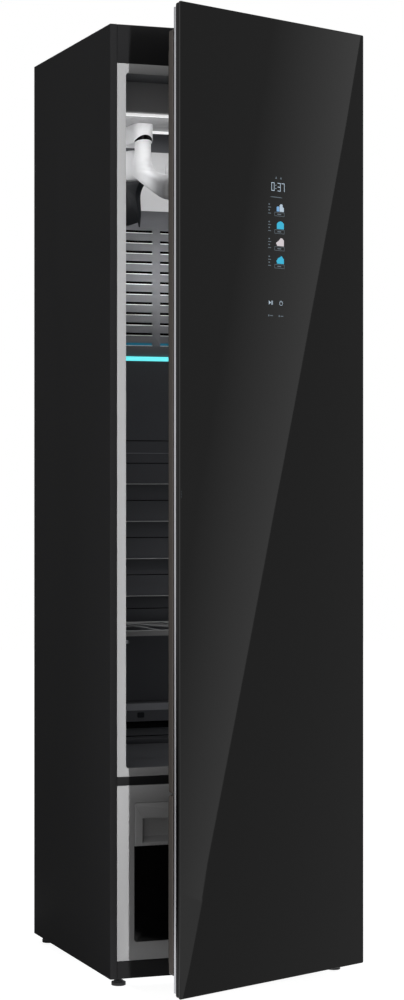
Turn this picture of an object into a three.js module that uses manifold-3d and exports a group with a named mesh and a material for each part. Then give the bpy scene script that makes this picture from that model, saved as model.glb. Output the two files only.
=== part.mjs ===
// A tall clothes care steam cabinet with its glass door standing part open.
// Millimetres. X runs to the right, Y to the back and Z up. The origin is the middle of the base pan's
// underside.
import * as THREE from "three";
import { mergeVertices } from "three/addons/utils/BufferGeometryUtils.js";
import Module from "manifold-3d";

const wasm = await Module();
wasm.setup();

// Driving dimensions of the cabinet
const cabinetWidth = 500;
const cabinetDepth = 520;
const cabinetHeight = 1831.5;
const sheetThickness = 1;
const panThickness = 1.5;
const meetingGap = 0.3;
const slidingGap = 0.6;
const cutOverrun = 5;

// Bands of the front, from the floor up
const baseTrimHeight = 34;
const lowerFrameHeight = 336.7;
const crossBarHeight = 16.4;
const sillHeight = 16.4;
const upperRailHeight = 18.3;
const headerHeight = 74;
const sideReturnWidth = 13.7;
const jambWidth = 18.5;
const frontFrameDepth = 8;
const openingCorner = 6;

// Door
const doorWidthMore = 1;
const doorHeightLess = 3;
const doorWidth = cabinetWidth + doorWidthMore;
const doorHeight = cabinetHeight - doorHeightLess;
const doorLift = 5.6;
const doorStandoff = 48;
const doorRestAngle = 24.1;
const pivotInset = 13.6;
const pivotForward = 18.5;
const hingeTopRoom = 48;
const hingeBottomRoom = 39;
const doorPastPivot = 15;

// Derived planes
const left = -cabinetWidth / 2;
const right = cabinetWidth / 2;
const front = -cabinetDepth / 2;
const back = cabinetDepth / 2;
const crossBarBottom = baseTrimHeight + lowerFrameHeight;
const crossBarTop = crossBarBottom + crossBarHeight;
const chamberFloor = crossBarTop + sillHeight;
const headerBottom = cabinetHeight - headerHeight;
const chamberTop = headerBottom - upperRailHeight;
const fasciaHalf = right - sideReturnWidth - meetingGap;
const chamberHalf = right - sideReturnWidth - jambWidth;
const chamberHeight = chamberTop - chamberFloor;
const frameBack = front + frontFrameDepth;

// Chamber
const liner = { wall: 2, backInset: 38, coverInset: 66.6, ledgeWidth: 9, ledgeHeight: 6 };
const chamberBack = back - liner.backInset;
const coverFace = back - liner.coverInset;
const coverThickness = 3;
const coverHalf = chamberHalf - slidingGap;

// Circle sides, by the size of the round
const fineSides = 28;
const plainSides = 20;
const smallSides = 12;

/** A closed three.js geometry as a solid that can be joined and cut. */
function solid(geometry) {
  const bare = geometry.clone();
  bare.deleteAttribute("normal");
  bare.deleteAttribute("uv");
  const merged = mergeVertices(bare);
  const index = merged.index.array;
  return new wasm.Manifold(
    new wasm.Mesh({
      numProp: 3,
      vertProperties: new Float32Array(merged.attributes.position.array),
      triVerts: new Uint32Array(index),
    }),
  );
}

/** A solid's faces as a three.js geometry. */
function surface(body) {
  const mesh = body.getMesh();
  const stride = mesh.numProp;
  const points = new Float32Array(mesh.numVert * 3);
  for (let i = 0; i < mesh.numVert; i++) {
    points.set(mesh.vertProperties.subarray(i * stride, i * stride + 3), i * 3);
  }
  const geometry = new THREE.BufferGeometry();
  geometry.setAttribute("position", new THREE.BufferAttribute(points, 3));
  geometry.setIndex(new THREE.BufferAttribute(mesh.triVerts, 1));
  geometry.computeVertexNormals();
  return geometry;
}

const join = (first, ...rest) => rest.reduce((sum, piece) => sum.add(piece), first);
const cut = (first, ...rest) => rest.reduce((body, piece) => body.subtract(piece), first);

/** A block between two limits along each axis. */
function block([x0, x1], [y0, y1], [z0, z1]) {
  const geometry = new THREE.BoxGeometry(x1 - x0, y1 - y0, z1 - z0);
  geometry.translate((x0 + x1) / 2, (y0 + y1) / 2, (z0 + z1) / 2);
  return solid(geometry);
}

/** A round bar along y or z; a second radius makes it a cone that ends at the high limit. */
function bar(axis, [low, high], [across, along], radius, sides = plainSides, endRadius = radius) {
  const geometry = new THREE.CylinderGeometry(endRadius, radius, high - low, sides);
  const middle = (low + high) / 2;
  if (axis === "z") {
    geometry.rotateX(Math.PI / 2);
    geometry.translate(across, along, middle);
  } else {
    geometry.translate(across, middle, along);
  }
  return solid(geometry);
}

/** An outline drawn in two axes and pushed along the third. */
function prism(axis, shape, [low, high], curveSegments = 3) {
  const geometry = new THREE.ExtrudeGeometry(shape, { depth: high - low, bevelEnabled: false,
    curveSegments });
  geometry.translate(0, 0, low);
  if (axis === "y") {
    // the outline's x and y become x and z
    geometry.applyMatrix4(new THREE.Matrix4().set(1, 0, 0, 0, 0, 0, 1, 0, 0, 1, 0, 0, 0, 0, 0, 1));
    flip(geometry);
  } else if (axis === "x") {
    // the outline's x and y become y and z
    geometry.applyMatrix4(new THREE.Matrix4().set(0, 0, 1, 0, 1, 0, 0, 0, 0, 1, 0, 0, 0, 0, 0, 1));
  }
  return solid(geometry);
}

/** Turns every face round, for a shape that was mirrored. */
function flip(geometry) {
  const position = geometry.attributes.position;
  for (let i = 0; i < position.count; i += 3) {
    const first = new THREE.Vector3().fromBufferAttribute(position, i);
    const last = new THREE.Vector3().fromBufferAttribute(position, i + 2);
    position.setXYZ(i, last.x, last.y, last.z);
    position.setXYZ(i + 2, first.x, first.y, first.z);
  }
}

/** A rectangle with round corners, from its limits. */
function roundedRect([x0, x1], [y0, y1], radius) {
  const shape = new THREE.Shape();
  shape.moveTo(x0 + radius, y0);
  shape.lineTo(x1 - radius, y0);
  shape.absarc(x1 - radius, y0 + radius, radius, -Math.PI / 2, 0);
  shape.lineTo(x1, y1 - radius);
  shape.absarc(x1 - radius, y1 - radius, radius, 0, Math.PI / 2);
  shape.lineTo(x0 + radius, y1);
  shape.absarc(x0 + radius, y1 - radius, radius, Math.PI / 2, Math.PI);
  shape.lineTo(x0, y0 + radius);
  shape.absarc(x0 + radius, y0 + radius, radius, Math.PI, Math.PI * 1.5);
  return shape;
}

/** A closed skin over rings of points that all have the same count. */
function loft(rings) {
  const points = [];
  const faces = [];
  const count = rings[0].length;
  rings.forEach((ring) => ring.forEach((p) => points.push(p.x, p.y, p.z)));
  for (let r = 0; r + 1 < rings.length; r++) {
    for (let i = 0; i < count; i++) {
      const a = r * count + i;
      const b = r * count + ((i + 1) % count);
      faces.push(a, b, b + count, a, b + count, a + count);
    }
  }
  const last = (rings.length - 1) * count;
  for (let i = 1; i + 1 < count; i++) {
    faces.push(0, i + 1, i, last, last + i, last + i + 1);
  }
  const geometry = new THREE.BufferGeometry();
  geometry.setAttribute("position", new THREE.Float32BufferAttribute(points, 3));
  geometry.setIndex(faces);
  return solid(geometry);
}

const finishes = {
  casing: { color: 0x212122, roughness: 0.5, metalness: 0.2 },
  galvanised: { color: 0x9a9c9e, roughness: 0.45, metalness: 0.8 },
  frame: { color: 0xb4b4b5, roughness: 0.45, metalness: 0.1 },
  gloss: { color: 0x0c0c0d, roughness: 0.12, metalness: 0 },
  darkPlastic: { color: 0x3c3d40, roughness: 0.5, metalness: 0 },
  linerPlastic: { color: 0x4a4b4e, roughness: 0.5, metalness: 0 },
  foam: { color: 0xd9cfa6, roughness: 0.95, metalness: 0 },
  white: { color: 0xe9e9ea, roughness: 0.35, metalness: 0 },
  light: { color: 0xffffff, roughness: 0.4, metalness: 0 },
  cyan: { color: 0x60ffff, roughness: 0.4, metalness: 0 },
  lit: { color: 0xbcbcbe, roughness: 0.45, metalness: 0 },
  glass: { color: 0x1c1c1d, roughness: 0.06, metalness: 0 },
  silver: { color: 0xaeaeb1, roughness: 0.3, metalness: 0.9 },
  doorShell: { color: 0x5c564f, roughness: 0.55, metalness: 0 },
  rubber: { color: 0x3a3632, roughness: 0.75, metalness: 0 },
  steel: { color: 0x8d9093, roughness: 0.35, metalness: 0.9 },
  board: { color: 0x1f5a3a, roughness: 0.6, metalness: 0 },
};

/** A named mesh with its own material. */
function node(name, body, finish) {
  const mesh = new THREE.Mesh(surface(body), new THREE.MeshStandardMaterial(finish));
  mesh.name = name;
  return mesh;
}

const group = new THREE.Group();

// Casing

/** A side sheet with its front edge folded inwards. */
function sidePanel(side) {
  const outer = side * right;
  const inner = side * (right - sheetThickness);
  const returnEnd = side * (right - sideReturnWidth);
  const sheet = block(span(outer, inner), [front, back], [0, cabinetHeight]);
  const fold = block(span(inner, returnEnd), [front, front + sheetThickness], [0, cabinetHeight]);
  return join(sheet, fold);
}

/** Two limits in rising order. */
function span(a, b) {
  return [Math.min(a, b), Math.max(a, b)];
}

const insideHalf = right - sheetThickness - meetingGap;
const backPanelFace = back - sheetThickness;
const ventShape = { width: 60, height: 5, pitch: 14, count: 6, bottom: 70 };

function topCover() {
  const start = front + frontFrameDepth + meetingGap;
  return block([-insideHalf, insideHalf], [start, back], [cabinetHeight - sheetThickness, cabinetHeight]);
}

/** The back sheet, with air slots by the machine bay. */
function backPanel() {
  const top = cabinetHeight - sheetThickness - meetingGap;
  let panel = block([-insideHalf, insideHalf], [backPanelFace, back], [panThickness + meetingGap, top]);
  const slotY = [backPanelFace - cutOverrun, back + cutOverrun];
  for (let i = 0; i < ventShape.count; i++) {
    const z = ventShape.bottom + i * ventShape.pitch;
    for (const side of [-1, 1]) {
      const x = span(side * ventShape.width / 2, side * ventShape.width * 1.5);
      panel = cut(panel, block(x, slotY, [z, z + ventShape.height]));
    }
  }
  return cut(panel, inletHole());
}

// Levelling feet
const foot = {
  inset: 25,
  height: 16,
  padRadius: 14,
  padHeight: 7,
  neckHeight: 10,
  stemRadius: 5,
  stemRise: 24,
  ribs: 20,
  ribDepth: 0.8,
};
foot.x = right - foot.inset;
foot.y = back - foot.inset;
const nut = { radius: 9, height: 12 };

/** The pan that everything stands on, with a threaded boss over each foot. */
function basePan() {
  const y = [front + frontFrameDepth + meetingGap, backPanelFace - meetingGap];
  let pan = block([-insideHalf, insideHalf], y, [0, panThickness]);
  for (const sx of [-1, 1]) {
    for (const sy of [-1, 1]) {
      const place = [sx * foot.x, sy * foot.y];
      const boss = bar("z", [0, panThickness + nut.height], place, nut.radius);
      const bore = bar("z", [-cutOverrun, panThickness + nut.height + cutOverrun], place,
        foot.stemRadius + meetingGap);
      pan = cut(join(pan, boss), bore);
    }
  }
  return pan;
}

/** A ribbed pad on a threaded stem, with its axis on the z axis. */
function levellingFoot() {
  const outline = new THREE.Shape();
  const steps = foot.ribs * 2;
  for (let i = 0; i < steps; i++) {
    const angle = (i / steps) * Math.PI * 2;
    const reach = foot.padRadius - (i % 2) * foot.ribDepth;
    outline[i ? "lineTo" : "moveTo"](reach * Math.cos(angle), reach * Math.sin(angle));
  }
  outline.closePath();
  const pad = prism("z", outline, [-foot.height, -foot.height + foot.padHeight]);
  const neck = bar("z", [-foot.height, -foot.height + foot.neckHeight], [0, 0], nut.radius);
  const stem = bar("z", [-foot.height, -meetingGap + foot.stemRise - foot.padHeight], [0, 0],
    foot.stemRadius);
  return join(pad, neck, stem);
}

// Front bands

/** A plate of the front with round-cornered openings. */
function frontPlate(half, [z0, z1], openings = [], corner = openingCorner, depth = frontFrameDepth) {
  const plate = block([-half, half], [front, front + depth], [z0, z1]);
  const reach = [front - cutOverrun, front + depth + cutOverrun];
  return cut(plate, ...openings.map(([x, z]) => prism("y", roundedRect(x, z, corner), reach)));
}

const chamberFrame = () =>
  frontPlate(fasciaHalf, [crossBarTop + meetingGap, headerBottom - meetingGap], [
    [[-chamberHalf, chamberHalf], [chamberFloor, chamberTop]],
  ]);

const headerPanel = () => frontPlate(fasciaHalf, [headerBottom, cabinetHeight]);
const crossBar = () => frontPlate(fasciaHalf, [crossBarBottom, crossBarTop]);
const baseTrim = () => frontPlate(fasciaHalf, [0, baseTrimHeight]);

// Water tanks
const tank = {
  lift: 35.6,
  topDrop: 34.5,
  sideInset: 49.3,
  middleGap: 4,
  gripZoneHeight: 83.5,
  frontCorner: 6,
  wall: 2.5,
  depth: 208,
  bodyInset: 4,
  fillerRadius: 22,
  fillerInset: 60,
  rimWidth: 8,
};
tank.bottom = baseTrimHeight + tank.lift;
tank.top = crossBarBottom - tank.topDrop;
tank.outerEdge = right - tank.sideInset;
tank.inner = tank.middleGap / 2;
tank.gripBottom = tank.top - tank.gripZoneHeight;
const grip = { inset: 17, bottomShare: 0.08, topShare: 0.635, depth: 24, lean: 9 };
const tray = { thickness: 3, sideWidth: 3, sideHeight: 60, stopDepth: 3 };

/** The grey frame of the tank bay. */
function lowerFrame() {
  const z = [tank.bottom - slidingGap, tank.top + slidingGap];
  const openings = [-1, 1].map((side) => [
    span(side * (tank.inner - slidingGap), side * (tank.outerEdge + slidingGap)),
    z,
  ]);
  return frontPlate(fasciaHalf, [baseTrimHeight + meetingGap, crossBarBottom - meetingGap], openings,
    tank.frontCorner);
}

/** The upper part of a tank's face, with a scooped grip. */
function tankFront(side) {
  const x = span(side * tank.inner, side * tank.outerEdge);
  const z = [tank.gripBottom + meetingGap, tank.top];
  const depth = grip.depth + tank.wall;
  const outline = new THREE.Shape();
  const corner = tank.frontCorner;
  outline.moveTo(x[0], z[0]);
  outline.lineTo(x[1], z[0]);
  outline.lineTo(x[1], z[1] - corner);
  outline.absarc(x[1] - corner, z[1] - corner, corner, 0, Math.PI / 2);
  outline.lineTo(x[0] + corner, z[1]);
  outline.absarc(x[0] + corner, z[1] - corner, corner, Math.PI / 2, Math.PI);
  const face = prism("y", outline, [front, front + depth]);
  const low = tank.gripBottom + tank.gripZoneHeight * grip.bottomShare;
  const high = tank.gripBottom + tank.gripZoneHeight * grip.topShare;
  const mouth = (inset, y, rise) =>
    [
      [x[0] + grip.inset + inset, low + rise],
      [x[1] - grip.inset - inset, low + rise],
      [x[1] - grip.inset - inset, high],
      [x[0] + grip.inset + inset, high],
    ].map(([px, pz]) => new THREE.Vector3(px, y, pz));
  const reach = -cutOverrun / grip.depth;
  const scoop = loft([
    mouth(grip.lean * reach, front - cutOverrun, grip.lean * reach).reverse(),
    mouth(grip.lean, front + grip.depth, grip.lean).reverse(),
  ]);
  return cut(face, scoop);
}

/** The dark tank itself, open at its filler. */
function tankBody(side) {
  const x = span(side * tank.inner, side * tank.outerEdge);
  const behind = front + grip.depth + tank.wall + meetingGap;
  const end = front + tank.depth;
  const inset = [x[0] + tank.bodyInset, x[1] - tank.bodyInset];
  const faceZ = [tank.bottom, tank.gripBottom + tank.frontCorner];
  const rounded = prism("y", roundedRect(x, faceZ, tank.frontCorner), [front, front + tank.wall * 2]);
  const aboveFace = [tank.gripBottom, tank.gripBottom + tank.frontCorner + cutOverrun];
  const lower = cut(rounded, block(x, [front - cutOverrun, front + grip.depth], aboveFace));
  const shell = block(inset, [front, end], [tank.bottom, tank.gripBottom]);
  const tall = block(inset, [behind, end], [tank.bottom, tank.top - tank.rimWidth]);
  const w = tank.wall;
  const room = [inset[0] + w, inset[1] - w];
  const hollow = join(
    block(room, [front + w * 2, end - w], [tank.bottom + w, tank.gripBottom - w]),
    block(room, [behind + w, end - w], [tank.bottom + w, tank.top - tank.rimWidth - w]),
  );
  const middle = (x[0] + x[1]) / 2;
  const top = tank.top - tank.rimWidth;
  const filler = bar("z", [top - w - cutOverrun, top + cutOverrun], [middle, end - tank.fillerInset],
    tank.fillerRadius);
  return cut(join(lower, shell, tall), hollow, filler);
}

/** The open tray that carries both tanks, with a rib between them. */
function tankTray() {
  const floorTop = tank.bottom - slidingGap;
  const y = [frameBack + meetingGap, front + tank.depth + tray.stopDepth + slidingGap];
  const edge = tank.outerEdge - tank.bodyInset + slidingGap;
  const outer = edge + tray.sideWidth;
  const floor = block([-outer, outer], y, [floorTop - tray.thickness, floorTop]);
  const sideZ = [floorTop - tray.thickness, floorTop + tray.sideHeight];
  const sides = [-1, 1].map((s) => block(span(s * edge, s * outer), y, sideZ));
  const stop = block([-outer, outer], [y[1] - tray.stopDepth, y[1]], sideZ);
  const legs = [-1, 1].flatMap((s) =>
    [y[0], y[1] - tray.sideWidth * 2].map((ly) =>
      block(span(s * (outer - tray.sideWidth * 2), s * outer), [ly, ly + tray.sideWidth * 2],
        [panThickness + meetingGap, floorTop]),
    ),
  );
  return join(floor, stop, ...sides, ...legs);
}

// Chamber

const linerFront = frameBack + meetingGap;
const jetDuct = { radius: 34, frontDepth: 200 };
jetDuct.y = front + jetDuct.frontDepth;
const returnDuct = { width: 300, depth: 16 };
const steamPort = { radius: 9, placeShare: 0.48, backInset: 140 };
steamPort.x = right * steamPort.placeShare;
steamPort.y = back - steamPort.backInset;

/** The moulded lining, open to the front, with a ledge for the shelf along each side. */
function chamberLiner() {
  const w = liner.wall;
  const outer = block([-chamberHalf - w, chamberHalf + w], [linerFront, chamberBack + w],
    [chamberFloor - w, chamberTop + w]);
  const room = block([-chamberHalf, chamberHalf], [linerFront - cutOverrun, chamberBack],
    [chamberFloor, chamberTop]);
  const ledgeZ = [shelf.top - shelf.thickness - liner.ledgeHeight, shelf.top - shelf.thickness - meetingGap];
  const ledges = [-1, 1].map((s) =>
    block(span(s * (chamberHalf - liner.ledgeWidth), s * (chamberHalf + w)),
      [linerFront, coverFace - slidingGap], ledgeZ),
  );
  const duct = bar("z", [chamberTop - cutOverrun, chamberTop + w + cutOverrun], [0, jetDuct.y],
    jetDuct.radius + meetingGap, fineSides);
  const airIn = block(
    [-returnDuct.width / 2, returnDuct.width / 2],
    [chamberBack - returnDuct.depth, chamberBack],
    [chamberFloor - w - cutOverrun, chamberFloor + cutOverrun],
  );
  const steam = bar("z", [chamberFloor - w - cutOverrun, chamberFloor + cutOverrun],
    [steamPort.x, steamPort.y], steamPort.radius);
  return cut(join(cut(outer, room), ...ledges), duct, airIn, steam);
}

/** The foam round the lining. */
function insulation() {
  const w = liner.wall + meetingGap;
  const x = [-insideHalf, insideHalf];
  const y = [linerFront, backPanelFace - meetingGap];
  const outer = block(x, y, [crossBarTop, headerBottom]);
  const room = block([-chamberHalf - w, chamberHalf + w], [linerFront - cutOverrun, chamberBack + w],
    [chamberFloor - w, chamberTop + w]);
  const duct = bar("z", [chamberTop, headerBottom + cutOverrun], [0, jetDuct.y],
    jetDuct.radius + meetingGap, fineSides);
  const airIn = block(
    [-returnDuct.width / 2, returnDuct.width / 2],
    [chamberBack - returnDuct.depth, chamberBack],
    [crossBarTop - cutOverrun, chamberFloor],
  );
  const steam = bar("z", [crossBarTop - cutOverrun, chamberFloor], [steamPort.x, steamPort.y],
    steamPort.radius);
  return cut(outer, room, duct, airIn, steam);
}

// Housing under the ceiling, with its lights
const drop = { frontDepth: 95, rearDepth: 320, height: 61.6, wall: 2.5, lipRadius: 5 };
drop.bottom = chamberTop - drop.height;
drop.y = [front + drop.frontDepth, front + drop.rearDepth];
const lightBar = { depth: 8, height: 7 };

/** The tray-shaped air box that hangs from the ceiling. */
function dropHousing() {
  const half = coverHalf;
  const w = drop.wall;
  const outline = new THREE.Shape();
  const [y0, y1] = drop.y;
  const top = chamberTop - meetingGap;
  outline.moveTo(y0 + drop.lipRadius, drop.bottom);
  outline.lineTo(y1, drop.bottom);
  outline.lineTo(y1, top);
  outline.lineTo(y0, top);
  outline.lineTo(y0, drop.bottom + drop.lipRadius);
  outline.absarc(y0 + drop.lipRadius, drop.bottom + drop.lipRadius, drop.lipRadius, Math.PI, Math.PI * 1.5);
  const body = prism("x", outline, [-half, half]);
  const room = block([-half + w, half - w], [y0 + w, y1 - w], [drop.bottom + w, top + cutOverrun]);
  const outlets = hangerPlaces().map((x) =>
    bar("z", [drop.bottom - cutOverrun, drop.bottom + w + cutOverrun], [x, hanger.y], coupling.boreRadius),
  );
  return cut(body, room, ...outlets);
}

/** A light bar under one edge of the housing. */
function ceilingLight(y0) {
  const z1 = drop.bottom - meetingGap;
  return block([-coverHalf, coverHalf], [y0, y0 + lightBar.depth], [z1 - lightBar.height, z1]);
}

// Air hangers
const hanger = {
  placeShare: 0.44231,
  pitch: 106,
  backRoom: 37.4,
  ringDrop: 94.2,
  ridgeNearDrop: 56,
  ridgeFarDrop: 99,
  underNearDrop: 81,
  underFarDrop: 147,
  rearShare: 0.67,
  halfWidth: 19,
  endHalfWidth: 23,
  boreRadius: 9,
};
hanger.y = front + cabinetDepth * hanger.placeShare;
hanger.halfLength = coverFace - hanger.y - hanger.backRoom;
hanger.rearLength = hanger.halfLength * hanger.rearShare;
hanger.ringTop = chamberTop - hanger.ringDrop;
hanger.ridgeNear = hanger.ringTop - hanger.ridgeNearDrop;
hanger.ridgeFar = hanger.ringTop - hanger.ridgeFarDrop;
hanger.underNear = hanger.ringTop - hanger.underNearDrop;
hanger.underFar = hanger.ringTop - hanger.underFarDrop;
const bracket = { halfWidth: 20, ringCover: 5, rearDepth: 310, archRadius: 22, archRise: 9, cornerSteps: 6 };
bracket.bottom = hanger.ringTop - bracket.ringCover;
bracket.archTop = hanger.ringTop + bracket.archRise;
const coupling = { boreRadius: 12.4, spigotRadius: 12, depth: 17, collarInset: 1.2 };
const blade = {
  halfThickness: 7,
  tipHalfThickness: 1.5,
  bottomDrop: 82,
  tipDrop: 93,
  rear: 105,
  slitWidth: 2,
  startShare: -0.04,
  tipShare: 0.2,
  heelShare: 0.25,
  slitShares: [0.35, 0.9],
  slitTopShare: 0.45,
};
blade.bottom = hanger.underNear - blade.bottomDrop;
blade.tip = hanger.underNear - blade.tipDrop;
const bladeEdgeShares = [[0.2, 0.84], [0.28, 0.7], [0.25, 0.54], [0.2, 0.38], [0.185, 0.24]];

const hangerPlaces = () => [-hanger.pitch, 0, hanger.pitch];

/** The white block that brings air down from the housing, with an arch over the hanger's ring. */
function hangerBracket(x) {
  const half = bracket.halfWidth;
  const end = front + bracket.rearDepth;
  const outline = new THREE.Shape();
  outline.moveTo(x + half, hanger.y);
  outline.lineTo(x + half, end);
  outline.lineTo(x - half, end);
  outline.lineTo(x - half, hanger.y);
  outline.absarc(x, hanger.y, half, Math.PI, Math.PI * 2);
  const body = prism("z", outline, [bracket.bottom, drop.bottom - meetingGap], bracket.cornerSteps);
  const overTop = drop.bottom + cutOverrun;
  const bore = bar("z", [bracket.bottom - cutOverrun, overTop], [x, hanger.y], coupling.boreRadius,
    fineSides);
  const archZ = bracket.archTop - bracket.archRadius;
  const face = hanger.y - half;
  const arch = bar("y", [face - cutOverrun, hanger.y], [x, archZ], bracket.archRadius, fineSides);
  const core = bar("z", [bracket.bottom - cutOverrun, bracket.archTop + cutOverrun], [x, hanger.y],
    half - coupling.collarInset, fineSides);
  const ringRoom = bar("z", [bracket.bottom - cutOverrun, hanger.ringTop + meetingGap], [x, hanger.y],
    neck.topHalf + slidingGap, fineSides);
  return cut(body, cut(arch, core), bore, ringRoom);
}

// The neck of a hanger: shares of its drop, of its spread across and of its spread along, from its ring down
const neck = { drop: 66, topHalf: 17, footHalf: 19, footAlong: 56, steps: 24 };
const neckShares = [[0, 0, 0], [0.303, -0.2, 0], [0.636, 0.3, 0.103], [0.848, 0.8, 0.41], [1, 1, 1]];

const armShape = { turn: 16, squareness: 0.55 };
// The short rear arm: share of its length, then ridge and underside as shares of the drop to the neck's foot
const rearArmShares = [[0, 0.69, 1], [0.2, 0.25, 0.99], [0.5, 0.15, 0.94], [0.8, 0.2, 0.88], [1, 0.3, 0.84]];

/** A flat-topped round-sided ring of a hanger's arm, square to its length. */
function armRing(x, s, low, high, half) {
  const points = [];
  for (let i = 0; i < armShape.turn; i++) {
    const angle = (i / armShape.turn) * Math.PI * 2;
    const px = Math.sign(Math.sin(angle)) * Math.abs(Math.sin(angle)) ** armShape.squareness;
    const pz = Math.sign(Math.cos(angle)) * Math.abs(Math.cos(angle)) ** armShape.squareness;
    points.push(new THREE.Vector3(x + half * px, hanger.y + s, (low + high) / 2 + ((high - low) / 2) * pz));
  }
  return points;
}

/** The rear arm's ridge, underside and half width at a share of its length. */
function rearArmAt(share) {
  const after = Math.max(1, rearArmShares.findIndex(([at]) => at >= share));
  const [before, next] = [rearArmShares[after - 1], rearArmShares[after]];
  const part = (share - before[0]) / (next[0] - before[0]);
  const [high, low] = [1, 2].map((i) =>
    hanger.ringTop - hanger.underNearDrop * (before[i] + (next[i] - before[i]) * part));
  return { low, high, half: hanger.halfWidth };
}

/** Height of the ridge and the underside at a distance from the neck. */
function armAt(s) {
  if (s > 0) return rearArmAt(Math.min(1, s / hanger.rearLength));
  const share = Math.min(1, Math.abs(s) / hanger.halfLength);
  const high = hanger.ridgeNear + (hanger.ridgeFar - hanger.ridgeNear) * share;
  const low = hanger.underNear + (hanger.underFar - hanger.underNear) * share;
  const half = hanger.halfWidth + (hanger.endHalfWidth - hanger.halfWidth) * share;
  return { low, high, half };
}

/** An air hanger: a ring, a neck that spreads into two drooping arms, and an air bore. */
function airHanger(x) {
  const stationShares = [-1, -0.985, -0.95, -0.8, -0.5, -0.2, 0, 0.2, 0.5, 0.8, 0.95, 0.985, 1];
  const tipShares = new Map([[1, 0.25], [0.985, 0.62], [0.95, 0.88]]);
  const arms = loft(
    stationShares.map((share) => {
      const along = share * (share > 0 ? hanger.rearLength : hanger.halfLength);
      const { low, high, half } = armAt(along);
      const fullness = tipShares.get(Math.abs(share)) ?? 1;
      const middle = (low + high) / 2;
      const reach = ((high - low) / 2) * fullness;
      return armRing(x, along, middle - reach, middle + reach, half * fullness);
    }),
  );
  const stem = loft(
    neckShares.toReversed().map(([dropShare, acrossShare, alongShare]) => {
      const half = neck.topHalf + (neck.footHalf - neck.topHalf) * acrossShare;
      const along = neck.topHalf + (neck.footAlong - neck.topHalf) * alongShare;
      return Array.from({ length: neck.steps }, (_, i) => {
        const angle = (i / neck.steps) * Math.PI * 2;
        return new THREE.Vector3(
          x + half * Math.cos(angle), hanger.y + along * Math.sin(angle),
            hanger.ringTop - neck.drop * dropShare,
        );
      });
    }),
  );
  const top = hanger.ringTop + coupling.depth - meetingGap;
  const spigot = bar("z", [hanger.underNear + blade.halfThickness, top], [x, hanger.y],
    coupling.spigotRadius);
  const bore = bar("z", [hanger.underFar, top + cutOverrun], [x, hanger.y], hanger.boreRadius, smallSides);
  return cut(join(arms, stem, spigot), bore);
}

/** The dark blade under a hanger's neck, which blows air down through its slit. */
function nozzleBlade(x) {
  const s = (share) => blade.rear * share;
  const height = hanger.underNear - blade.tip;
  const z = (share) => blade.tip + height * share;
  const under = (along) => armAt(along).low - meetingGap;
  const outline = new THREE.Shape();
  const start = s(blade.startShare);
  outline.moveTo(hanger.y + start, under(start));
  outline.splineThru(bladeEdgeShares.map(([a, b]) => new THREE.Vector2(hanger.y + s(a), z(b))));
  outline.lineTo(hanger.y + s(blade.tipShare), blade.tip);
  outline.lineTo(hanger.y + s(blade.heelShare), blade.bottom);
  outline.lineTo(hanger.y + blade.rear, blade.bottom);
  outline.lineTo(hanger.y + blade.rear, under(blade.rear));
  const bends = rearArmShares.map(([share]) => hanger.rearLength * share)
    .filter((along) => along < blade.rear);
  bends.toReversed().forEach((along) => outline.lineTo(hanger.y + along, under(along)));
  outline.closePath();
  const thick = blade.halfThickness;
  const slab = prism("x", outline, [x - thick, x + thick]);
  const y = [hanger.y - blade.rear, hanger.y + blade.rear * 2];
  const wedge = loft(
    [y[0], y[1]].map((py) => [
      new THREE.Vector3(x - blade.tipHalfThickness, py, blade.tip),
      new THREE.Vector3(x - thick, py, hanger.underNear),
      new THREE.Vector3(x - thick, py, hanger.ringTop),
      new THREE.Vector3(x + thick, py, hanger.ringTop),
      new THREE.Vector3(x + thick, py, hanger.underNear),
      new THREE.Vector3(x + blade.tipHalfThickness, py, blade.tip),
    ]),
  );
  const slit = block([x - blade.slitWidth / 2, x + blade.slitWidth / 2],
    blade.slitShares.map((share) => hanger.y + s(share)), [blade.bottom - cutOverrun, z(blade.slitTopShare)]);
  return cut(slab.intersect(wedge), slit);
}

// Back of the chamber
const litPanel = { topDrop: 85.6, height: 125 };
litPanel.top = chamberTop - litPanel.topDrop;
litPanel.bottom = litPanel.top - litPanel.height;
const slotCover = {
  bottomShare: 0.61114,
  rows: 12,
  firstRowShare: 0.13407,
  pitchShare: 0.070304,
  slotHeight: 5,
  gapHalf: 9,
  sideInset: 24,
};
slotCover.bottom = chamberFloor + chamberHeight * slotCover.bottomShare;
slotCover.height = litPanel.bottom - slotCover.bottom;
slotCover.firstRow = litPanel.bottom - slotCover.height * slotCover.firstRowShare;
slotCover.pitch = slotCover.height * slotCover.pitchShare;
const accent = { height: 9, proud: 2 };
const filterBox = { depth: 42, height: 85.8 };
filterBox.top = chamberFloor + filterBox.height;
const lowerCover = { bottom: filterBox.top + slidingGap };
lowerCover.top = slotCover.bottom - accent.height - meetingGap * 2;
lowerCover.height = lowerCover.top - lowerCover.bottom;
const louvre = {
  topLipShare: 0.64665,
  pitchShare: 0.10925,
  slopeShare: 0.47,
  count: 4,
  proud: 20,
  lipHeight: 7,
};
louvre.topLip = lowerCover.bottom + lowerCover.height * louvre.topLipShare;
louvre.pitch = lowerCover.height * louvre.pitchShare;
louvre.slope = louvre.pitch * louvre.slopeShare;

/** A cover of the chamber's back, between two heights. */
function backCover([z0, z1], proud = 0) {
  return block([-coverHalf, coverHalf], [coverFace - proud, coverFace + coverThickness], [z0, z1]);
}

/** Legs that hold a cover off the lining. */
function coverLegs([z0, z1]) {
  const y = [coverFace + coverThickness, chamberBack - meetingGap];
  return [-1, 1].map((s) => block(span(s * (coverHalf - coverThickness), s * coverHalf), y, [z0, z1]));
}

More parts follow.
